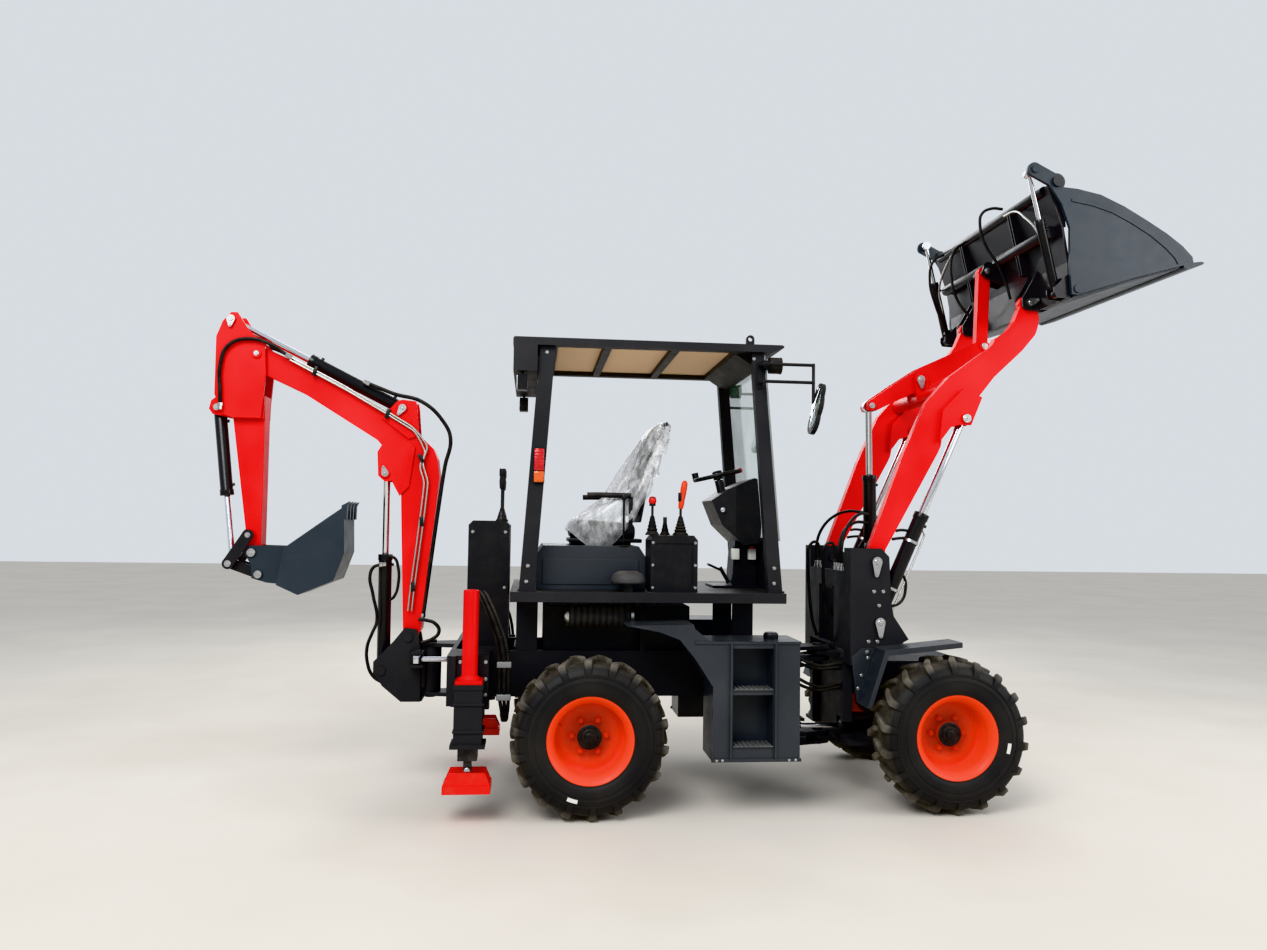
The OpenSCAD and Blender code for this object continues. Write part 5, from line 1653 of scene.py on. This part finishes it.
@dataclass
class Chassis:
    """Bolts, step treads, hoses and fittings of the two frames and the stabilisers."""

    bench: Bench

    def build(self) -> None:
        """Builds the pieces of both frames."""
        self.treads()
        self.frame_bolts()
        self.muffler()
        self.stabilisers()
        self.joint_hoses()
        self.tower()

    def treads(self) -> None:
        """Studded treads in the four steps and a knurled filler cap."""
        bench = self.bench
        for side, tag in ((-1, "r"), (1, "l")):
            for z, level in ((0.3820, "low"), (0.6810, "high")):
                y = sorted((side * 0.610, side * 0.7595))
                plate = bench.box(f"tread_{level}_{tag}", (0.7565, y[0], z), (0.9735, y[1], z + 0.0050), 0.0015)
                ring = [(0.004, 0.0045), (0.004, 0.0105), (0.0095, 0.0090), (0.0095, 0.0060)]
                stud = bench.turned("stud", ring, (0.775, side * 0.745, z), (0, 0, 1), 12, closed=True)
                grid = [(i * 0.0268, -side * j * 0.030, 0.0) for j in range(4) for i in range(8) if i or j]
                bench.repeat(stud, [bench.move(step) for step in grid])
                bench.join(plate, [stud])
                bench.done(plate, TREAD, "rear_frame", Slot.SLATE, smooth=30.0)
            teeth = 24
            edge = [(0.0, 0.0), (0.0, 0.0395)]
            for k in range(2):
                edge += [(0.007 + k * 0.010, 0.0405), (0.013 + k * 0.010, 0.0405)]
            cap = bench.turned("filler_cap_" + tag, edge + [(0.030, 0.037), (0.034, 0.024), (0.035, 0.0)], (0.985, side * 0.640, 0.9420), (0, 0, 1), teeth)
            bench.done(cap, BLACK, "rear_frame", Slot.PLASTIC, smooth=20.0)
            spots = [(x, side * 0.7585, 0.3135) for x in (0.668, 0.700, 1.060, 1.095)]
            bench.bolts("tank_bolts_" + tag, spots, (0, side, 0), 0.011, STEEL, "rear_frame", Slot.CHROME)

    def frame_bolts(self) -> None:
        """Bolts on the rear frame's end, the consoles and the front mudguards."""
        bench = self.bench
        for side, tag in ((-1, "r"), (1, "l")):
            spots = [(x, side * 0.6205, z) for x, z in ((-0.556, 0.812), (-0.556, 0.722), (-0.690, 0.812), (-0.720, 0.722), (-0.556, 0.640))]
            bench.bolts("frame_bolts_" + tag, spots, (0, side, 0), 0.016, STEEL, "rear_frame", Slot.CHROME)
            spots = [(x, side * 0.2005, z) for x, z in ((-0.478, 1.500), (-0.478, 1.180), (-0.478, 0.900), (-0.666, 1.500), (-0.666, 0.900))]
            bench.bolts("hoe_console_bolts_" + tag, spots, (0, side, 0), 0.015, STEEL, "rear_frame", Slot.CHROME)
            spots = [(x, side * 0.4585, z) for x, z in ((1.635, 1.190), (1.689, 1.190), (1.665, 1.110), (1.603, 0.905), (1.655, 0.905))]
            bench.bolts("tower_bolts_" + tag, spots, (0, side, 0), 0.017, STEEL, "front_frame", Slot.CHROME)
            spots = [(x, side * 0.4645, z) for x, z in ((1.592, 0.846), (1.598, 0.812), (1.560, 0.713), (1.541, 0.640))]
            bench.bolts("mudguard_bolts_" + tag, spots, (0, side, 0), 0.017, STEEL, "front_frame", Slot.CHROME)

    def muffler(self) -> None:
        """The muffler's clamp bands and its end flange."""
        bench = self.bench
        for number, x in enumerate((-0.128, 0.236)):
            band = bench.turned(f"muffler_band_{number}", [(0.0, 0.0620), (0.0, 0.0665), (0.016, 0.0665), (0.016, 0.0620)], (x, -0.388, 1.040), (1, 0, 0), 40, closed=True)
            bench.done(band, STEEL, "rear_frame", Slot.CHROME)
        flange = bench.turned("muffler_flange", [(0, 0), (0, 0.034), (0.004, 0.036), (0.012, 0.036), (0.014, 0.034), (0.014, 0)], (-0.1345, -0.388, 1.040), (1, 0, 0), 28)
        bench.done(flange, STEEL, "rear_frame", Slot.CHROME)

    def stabilisers(self) -> None:
        """Pins of the pads and the hoses that feed the jacks."""
        bench = self.bench
        end = [(0.0, 0.0), (0.0, 0.0155), (0.004, 0.0155), (0.006, 0.012), (0.006, 0.0)]
        for side, tag in ((-1, "r"), (1, "l")):
            caps = [bench.turned(f"pad_pin_{tag}_{k}", end, (-0.635, side * 0.700 + k * 0.0495, 0.275), (0, k, 0), 24) for k in (-1, 1)]
            pin = bench.join(caps[0], caps[1:])
            bench.done(pin, STEEL, "leg_" + tag, Slot.CHROME)
            for number, shift in enumerate((0.0, 0.024, 0.047)):
                y = side * (0.640 + 0.010 * (number == 1))
                route = [
                    (-0.625 + shift, side * 0.520, 1.178), (-0.597 + shift, side * 0.600, 1.146), (-0.562 + shift, y, 1.080), (-0.525 + shift, y, 0.990),
                    (-0.500 + shift, y, 0.915), (-0.484 + shift, y, 0.813), (-0.482 + shift, y, 0.720), (-0.480 + shift, y, 0.636),
                    (-0.466 + 0.6 * shift, side * 0.628, 0.545), (-0.462 + 0.3 * shift, side * 0.590, 0.500), (-0.470, side * 0.545, 0.520 + 0.4 * shift),
                ]
                hose = bench.pipe(f"jack_hose_{tag}_{number}", route, 0.0095)
                bench.done(hose, HOSE, "rear_frame", Slot.BLACK, smooth=60.0)
            for number, z in enumerate((0.802, 0.631)):
                y = sorted((side * 0.622, side * 0.664))
                clamp = bench.box(f"hose_clamp_{tag}_{number}", (-0.497, y[0], z - 0.016), (-0.420, y[1], z + 0.016), 0.006, 3)
                bench.done(clamp, GREY, "rear_frame", Slot.PLASTIC)

    def joint_hoses(self) -> None:
        """Hoses that cross the articulation, each bending between the two frames."""
        bench = self.bench
        start, end = bench.machine.at(1.30, 0, 0.6), bench.machine.at(1.58, 0, 0.6)
        routes = (
            (-0.300, 0.792, 0.753, 0.000), (-0.268, 0.766, 0.720, 0.020), (-0.300, 0.672, 0.640, -0.010), (-0.262, 0.640, 0.610, 0.014),
            (0.300, 0.780, 0.745, 0.000), (0.268, 0.700, 0.670, 0.020),
        )
        for number, (y, rear, front, sway) in enumerate(routes):
            route = [
                (1.1290, y, rear), (1.165, y, rear), (1.215, y + sway, rear + 0.006), (1.290, y + 2 * sway, rear - 0.026), (1.370, y + 2 * sway, rear - 0.048),
                (1.450, y + sway, 0.5 * (rear + front) - 0.020), (1.520, y, front + 0.004), (1.575, y, front), (1.615, y, front),
            ]
            hose = bench.pipe(f"joint_hose_{number}", route, 0.0095)
            bench.done(hose, HOSE, "", Slot.BLACK, smooth=60.0)
            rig.blend(hose, "rear_frame", "front_frame", start, end)
            sleeves = []
            for x, z, body in ((1.128, rear, "rear_frame"), (1.585, front, "front_frame")):
                shape = [(0, 0), (0, 0.0155), (0.012, 0.0155), (0.013, 0.0125), (0.034, 0.0125), (0.036, 0.0105), (0.036, 0)]
                nut = bench.turned(f"joint_fitting_{number}_{body}", shape, (x, y, z), (1, 0, 0), 12)
                sleeves.append(bench.done(nut, STEEL, body, Slot.CHROME, smooth=25.0))

    def tower(self) -> None:
        """Fittings on the towers' cross plate, with hoses to the tilt cylinder and down to the frame."""
        bench = self.bench
        for number, y in enumerate((-0.270, -0.210, -0.150, 0.170, 0.240)):
            body = [(0, 0), (0, 0.013), (0.020, 0.013), (0.021, 0.010), (0.044, 0.010), (0.046, 0.0085), (0.060, 0.0085), (0.060, 0)]
            nut = bench.turned(f"tower_fitting_{number}", body, (1.5035, y, 1.2995), (0, 0, 1), 12)
            bench.done(nut, STEEL, "front_frame", Slot.CHROME, smooth=25.0)
        down = [(1.5035, 1.335), (1.5035, 1.405), (1.478, 1.462), (1.440, 1.440), (1.429, 1.340), (1.436, 1.150), (1.460, 0.960), (1.488, 0.870)]
        over = (
            ((1.5035, -0.270, 1.335), (1.5035, -0.270, 1.430), (1.530, -0.250, 1.525), (1.585, -0.210, 1.600), (1.660, -0.150, 1.640), (1.720, -0.080, 1.642), (1.752, -0.035, 1.640)),
            ((1.5035, -0.210, 1.335), (1.5035, -0.210, 1.410), (1.520, -0.195, 1.480), (1.560, -0.165, 1.545), (1.630, -0.125, 1.585), (1.705, -0.070, 1.590), (1.752, -0.030, 1.585)),
            ((1.5035, 0.240, 1.335), (1.5035, 0.240, 1.440), (1.540, 0.235, 1.550), (1.610, 0.200, 1.630), (1.680, 0.140, 1.660), (1.730, 0.060, 1.655), (1.752, 0.030, 1.650)),
        )
        for number, y in enumerate((-0.150, 0.170)):
            hose = bench.pipe(f"tower_hose_{number}", [(x, y, z) for x, z in down], 0.0095)
            bench.done(hose, HOSE, "front_frame", Slot.BLACK, smooth=60.0)
        for number, route in enumerate(over):
            hose = bench.pipe(f"tilt_hose_{number}", route, 0.0095)
            bench.done(hose, HOSE, "", Slot.BLACK, smooth=60.0)
            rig.blend(hose, "front_frame", "tilt_barrel", bench.machine.at(1.560, 0, 1.560), bench.machine.at(1.735, 0, 1.630))


@dataclass
class Loader:
    """Hoses, pipes and fittings of the bucket, the clam and the loader's cylinders."""

    bench: Bench

    def build(self) -> None:
        """Builds the bucket's hoses and the cylinders' pipes."""
        bench = self.bench
        black = (
            ((2.500, -0.300, 3.516), (2.430, -0.300, 3.516), (2.368, -0.300, 3.480), (2.356, -0.300, 3.410), (2.388, -0.300, 3.292), (2.470, -0.300, 3.167), (2.520, -0.300, 3.055), (2.548, -0.300, 2.960)),
            ((2.521, 0.250, 3.476), (2.440, 0.250, 3.408), (2.423, 0.250, 3.219), (2.471, 0.250, 3.063), (2.548, 0.250, 2.972)),
            ((2.506, 0.560, 3.476), (2.436, 0.570, 3.430), (2.420, 0.600, 3.300), (2.480, 0.640, 3.130), (2.560, 0.680, 2.990)),
        )
        for number, route in enumerate(black):
            hose = bench.pipe(f"bucket_hose_{number}", route, 0.0085)
            bench.done(hose, HOSE, "bucket_back", Slot.BLACK, smooth=60.0)
        for side, tag in ((-1, "r"), (1, "l")):
            route = [
                (2.520, side * 0.280, 3.478), (2.524, side * 0.400, 3.470), (2.515, side * 0.540, 3.390), (2.525, side * 0.685, 3.241),
                (2.555, side * 0.700, 3.117), (2.578, side * 0.710, 3.008), (2.578, side * 0.710, 2.972),
            ]
            line = bench.pipe("bucket_pipe_" + tag, route, 0.0075)
            bench.done(line, PIPE, "bucket_back", Slot.CHROME, smooth=60.0)
            shape = [(0, 0), (0, 0.013), (0.016, 0.013), (0.017, 0.011), (0.040, 0.0105), (0.040, 0)]
            nut = bench.turned("bucket_fitting_" + tag, shape, (2.578, side * 0.710, 2.942), (0, 0, 1), 6)
            bench.done(nut, STEEL, "bucket_back", Slot.CHROME, smooth=25.0)
        self.cylinder_pipes()

    def cylinder_pipes(self) -> None:
        """The zinc pipe along each lift barrel with its two clips, and the barrel's black hoses."""
        bench = self.bench
        foot, tip = Vector((1.668, 0.0, 1.013)), Vector((2.192, 0.0, 2.203))
        along = (tip - foot).normalized()
        off = Vector((along.z, 0.0, -along.x))
        for side, tag in ((-1, "r"), (1, "l")):
            y = side * 0.404
            shift = Vector((0.0, y, 0.0))
            reach = off * 0.063
            route = [foot + along * d + r for d, r in ((0.095, off * 0.038), (0.100, reach), (0.150, reach), (0.350, reach), (0.580, reach), (0.600, off * 0.040))]
            line = bench.pipe("lift_pipe_" + tag, [tuple(p + shift) for p in route], 0.0060, 0.016)
            bench.done(line, PIPE, "lift_barrels", Slot.CHROME, smooth=60.0)
            for number, distance in enumerate((0.20, 0.50)):
                spot = tuple(foot + along * distance + shift)
                ring = [(0.0, 0.0415), (0.0, 0.0440), (0.016, 0.0440), (0.016, 0.0415)]
                band = bench.turned(f"lift_band_{tag}_{number}", ring, spot, tuple(along), 32, closed=True)
                bench.done(band, STEEL, "lift_barrels", Slot.CHROME)
            black = (
                ((1.820, 1.288), (1.836, 1.268), (1.843, 1.204), (1.822, 1.138), (1.785, 1.110), (1.752, 1.104)),
                ((1.784, 1.540), (1.815, 1.545), (1.864, 1.541)), ((1.762, 1.491), (1.800, 1.497), (1.846, 1.500)),
            )
            for number, points in enumerate(black):
                hose = bench.pipe(f"lift_hose_{tag}_{number}", [(x, y, z) for x, z in points], 0.0085)
                bench.done(hose, HOSE, "lift_barrels", Slot.BLACK, smooth=60.0)


@dataclass
class Backhoe:
    """Pipes and hoses of the boom and the dipper, with their clamps."""

    bench: Bench
    side: float = -0.0905
    pipe_radius: float = 0.0058
    hose_radius: float = 0.0105

    def hose(self, name: str, route: Sequence[Flat], y: float, body: str, radius: float = 0.0) -> bpy.types.Object:
        """A rubber hose in a plane along the machine.

        Args:
            name: Name of the hose.
            route: Points along X and Z.
            y: The plane.
            body: The body it rides on, or nothing where it is blended after.
            radius: Radius, or 0 for the usual one.

        Returns:
            The hose.
        """
        piece = self.bench.pipe(name, [(x, y, z) for x, z in route], radius or self.hose_radius)
        return self.bench.done(piece, HOSE, body, Slot.BLACK, smooth=60.0)

    def build(self) -> None:
        """Builds the backhoe's pipes, hoses and clamps."""
        bench = self.bench
        at = bench.machine.at
        upper = [(-1.760, 2.508), (-1.433, 2.340), (-1.033, 2.108), (-0.943, 1.997)]
        lower = [(-0.938, 1.787), (-0.969, 1.465), (-1.001, 1.177), (-1.013, 1.034)]
        first = upper + [(-0.975, 1.900)] + lower
        second = [(x + 0.012, z - 0.024) for x, z in upper[:-1]] + [(-0.955, 1.960), (-0.992, 1.880)] + [(x - 0.022, z) for x, z in lower]
        for number, route in enumerate((first, second)):
            line = bench.pipe(f"boom_pipe_{number}", [(x, self.side, z) for x, z in route], self.pipe_radius, 0.030)
            bench.done(line, PIPE, "boom", Slot.CHROME, smooth=60.0)
        for number, (x, z, turn) in enumerate(((-1.600, 2.428, 27), (-1.180, 2.190, 27), (-0.985, 1.930, 60), (-0.970, 1.560, 85), (-1.010, 1.180, 85))):
            clamp = bench.box(f"boom_clamp_{number}", (x - 0.011, self.side - 0.010, z - 0.034), (x + 0.011, self.side + 0.013, z + 0.022), 0.003)
            clamp.data.transform(bench.turn(turn - 90 if turn > 50 else turn - 10, (x, self.side, z)))
            bench.done(clamp, BLACK, "boom", Slot.PLASTIC)
        loop = self.hose("dipper_hose", [(-1.772, 2.515), (-1.830, 2.556), (-1.985, 2.596), (-2.091, 2.552), (-2.132, 2.431), (-2.128, 2.300), (-2.124, 2.208)], -0.112, "")
        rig.blend(loop, "boom", "dipper", at(-1.86, 0, 2.56), at(-2.02, 0, 2.58))
        over = self.hose("dipper_hose_far", [(-1.772, 2.515), (-1.830, 2.556), (-1.985, 2.590), (-2.085, 2.545), (-2.120, 2.431), (-2.124, 2.300), (-2.124, 2.208)], 0.112, "")
        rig.blend(over, "boom", "dipper", at(-1.86, 0, 2.56), at(-2.02, 0, 2.58))
        self.hose(
            "boom_hose",
            [(-1.310, 2.365), (-1.230, 2.335), (-1.149, 2.305), (-0.990, 2.264), (-0.859, 2.145), (-0.817, 2.049), (-0.845, 1.886), (-0.878, 1.627), (-0.930, 1.178), (-0.950, 1.002)],
            -0.060, "boom", 0.0115,
        )
        foot = self.hose("foot_hose", [(-0.973, 0.986), (-0.925, 0.980), (-0.878, 0.963), (-0.853, 0.915), (-0.899, 0.867), (-0.954, 0.850)], -0.095, "")
        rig.blend(foot, "boom", "swing_post", at(-0.950, 0, 0.985), at(-0.880, 0, 0.870))
        self.hose("boom_cylinder_hose", [(-1.163, 1.351), (-1.125, 1.335), (-1.107, 1.290), (-1.101, 1.200), (-1.125, 1.110), (-1.150, 1.090)], -0.030, "boom_barrel", 0.0085)
        feed = self.hose(
            "boom_feed_hose",
            [(-1.200, 1.300), (-1.240, 1.285), (-1.261, 1.238), (-1.242, 1.127), (-1.215, 0.969), (-1.240, 0.900), (-1.265, 0.827), (-1.262, 0.730), (-1.229, 0.654), (-1.158, 0.607)],
            -0.060, "", 0.0095,
        )
        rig.blend(feed, "boom_barrel", "swing_post", at(-1.215, 0, 0.969), at(-1.229, 0, 0.680))
        self.fittings()

    def fittings(self) -> None:
        """Hexagon fittings at the ends of the hoses."""
        bench = self.bench
        spots = (
            ("boom", (-1.745, -0.0905, 2.500), (-0.89, 0.0, 0.46)), ("dipper", (-2.124, -0.112, 2.214), (0.0, 0.0, -1.0)), ("boom", (-0.950, -0.060, 1.010), (-0.1, 0.0, -1.0)),
            ("boom", (-1.300, -0.060, 2.361), (-0.88, 0.0, 0.42)), ("boom_barrel", (-1.202, -0.060, 1.298), (1.0, 0.0, 0.1)),
        )
        shape = [(-0.006, 0.0), (-0.006, 0.0150), (0.012, 0.0150), (0.013, 0.0125), (0.032, 0.0125), (0.032, 0.0)]
        for number, (body, place, along) in enumerate(spots):
            nut = bench.turned(f"hoe_fitting_{number}", shape, place, tuple(Vector(along).normalized()), 6)
            bench.done(nut, STEEL, body, Slot.CHROME, smooth=25.0)


@dataclass
class Studio:
    """Camera, floor and lights."""

    eye: Point = (-0.3272, -5.8503, 1.5466)
    yaw: float = math.radians(5.963)
    pitch: float = math.radians(3.020)
    roll: float = math.radians(0.831)
    lens: float = 27.42
    sensor: float = 36.0

    def camera(self, machine: Machine) -> None:
        """Sets the camera to the photograph's view.

        Args:
            machine: The machine, for its datum.
        """
        ahead = Vector((math.sin(self.yaw) * math.cos(self.pitch), math.cos(self.yaw) * math.cos(self.pitch), math.sin(self.pitch)))
        right = Vector((math.cos(self.yaw), -math.sin(self.yaw), 0.0))
        up = right.cross(ahead)
        turned_right = math.cos(self.roll) * right + math.sin(self.roll) * up
        turned_up = math.cos(self.roll) * up - math.sin(self.roll) * right
        data = bpy.data.cameras.new("camera")
        data.lens = self.lens
        data.sensor_width = self.sensor
        data.sensor_fit = "HORIZONTAL"
        data.clip_end = 200.0
        eye = bpy.data.objects.new("camera", data)
        bpy.context.scene.collection.objects.link(eye)
        turn = Matrix((turned_right, turned_up, -ahead)).transposed().to_4x4()
        eye.matrix_world = Matrix.Translation(machine.at(*self.eye)) @ turn
        bpy.context.scene.camera = eye

    def floor(self) -> None:
        """A pale floor."""
        bpy.ops.mesh.primitive_plane_add(size=60.0)
        plane = bpy.context.object
        plane.name = "studio_floor"
        g = Graph("floor")
        g.set(Base_Color=g.mix(g.ramp(g.noise(0.8, 3.0), 0.3, 0.7), rgb(206, 200, 190), rgb(214, 208, 199)), Roughness=0.85)
        plane.data.materials.append(g.material)
        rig.stage(plane)

    def lights(self) -> None:
        """Soft sky light, one large soft key from the near side and a weak fill."""
        world = bpy.data.worlds.new("studio")
        bpy.context.scene.world = world
        world.use_nodes = True
        sky = world.node_tree.nodes["Background"]
        sky.inputs[0].default_value = (0.86, 0.90, 0.95, 1.0)
        sky.inputs[1].default_value = 0.85
        for name, place, aim, size, power in (
            ("key", (-3.5, -6.5, 7.0), (0.0, 0.0, 1.2), 5.0, 620.0),
            ("fill", (6.0, -4.0, 4.0), (0.5, 0.0, 1.5), 5.0, 220.0),
            ("rim", (0.0, 7.0, 6.0), (0.0, 0.0, 1.5), 6.0, 260.0),
        ):
            data = bpy.data.lights.new(name, "AREA")
            data.shape = "DISK"
            data.size = size
            data.energy = power
            lamp = bpy.data.objects.new(name, data)
            bpy.context.scene.collection.objects.link(lamp)
            lamp.location = place
            lamp.rotation_euler = (Vector(aim) - Vector(place)).to_track_quat("-Z", "Y").to_euler()
        bpy.context.scene.view_settings.view_transform = "Khronos PBR Neutral"

    def build(self, machine: Machine) -> None:
        """Builds camera, floor and lights.

        Args:
            machine: The machine, for its datum.
        """
        self.camera(machine)
        self.floor()
        self.lights()


BUILDERS = (Wheels, Cab, Station, Pins, Chassis, Loader, Backhoe)
DRESS = {
    CHARCOAL: "rear_chassis rear_axle deck canopy roof front_chassis front_axle swing_post stabiliser_guides",
    # bucket_back takes the dark paint, darker than the clam's, as painted shade on the bucket's back
    DARK: "hoe_rocker hoe_link bucket_back",
    BUCKET: "clam hoe_bucket",
    SLATE: "seat_hood tanks front_mudguards",
    RED: "arms rocker tilt_link boom dipper jack_tubes",
    LEG: "leg_r leg_l",
    BLACK: "engine console control_stand hoe_console mirrors steering_wheel",
    MUFFLER: "air_cleaner",
    BARREL: "lift_barrels tilt_barrel clam_barrels steer_barrel swing_barrel boom_barrel dipper_barrel crowd_barrel",
    CHROME: "lift_rods tilt_rod clam_rods steer_rod swing_rod boom_rod dipper_rod crowd_rod",
    TAN: "ceiling",
    CASE: "lamps",
    SEAT: "seat",
    GLASS: "windshield",
}


def main() -> None:
    """Builds the looks around the frame, one sub-assembly after another."""
    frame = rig.load()
    cad_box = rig.bounds()
    bpy.ops.object.select_all(action="DESELECT")
    machine = Machine(frame)
    bench = Bench(machine)
    for look, nodes in DRESS.items():
        for node in nodes.split():
            machine.dress(node, look)
    for maker in BUILDERS:
        maker(bench).build()
        LOG.info("%s is built", maker.__name__)
    Studio().build(machine)
    with open(SIZE_FILE, "w", encoding="ascii") as size_file:
        json.dump({"cad": [list(v) for v in cad_box], "visual": [list(v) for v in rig.bounds()]}, size_file)


if __name__ == "__main__":
    logging.basicConfig(level=logging.INFO, format="%(message)s")
    main()
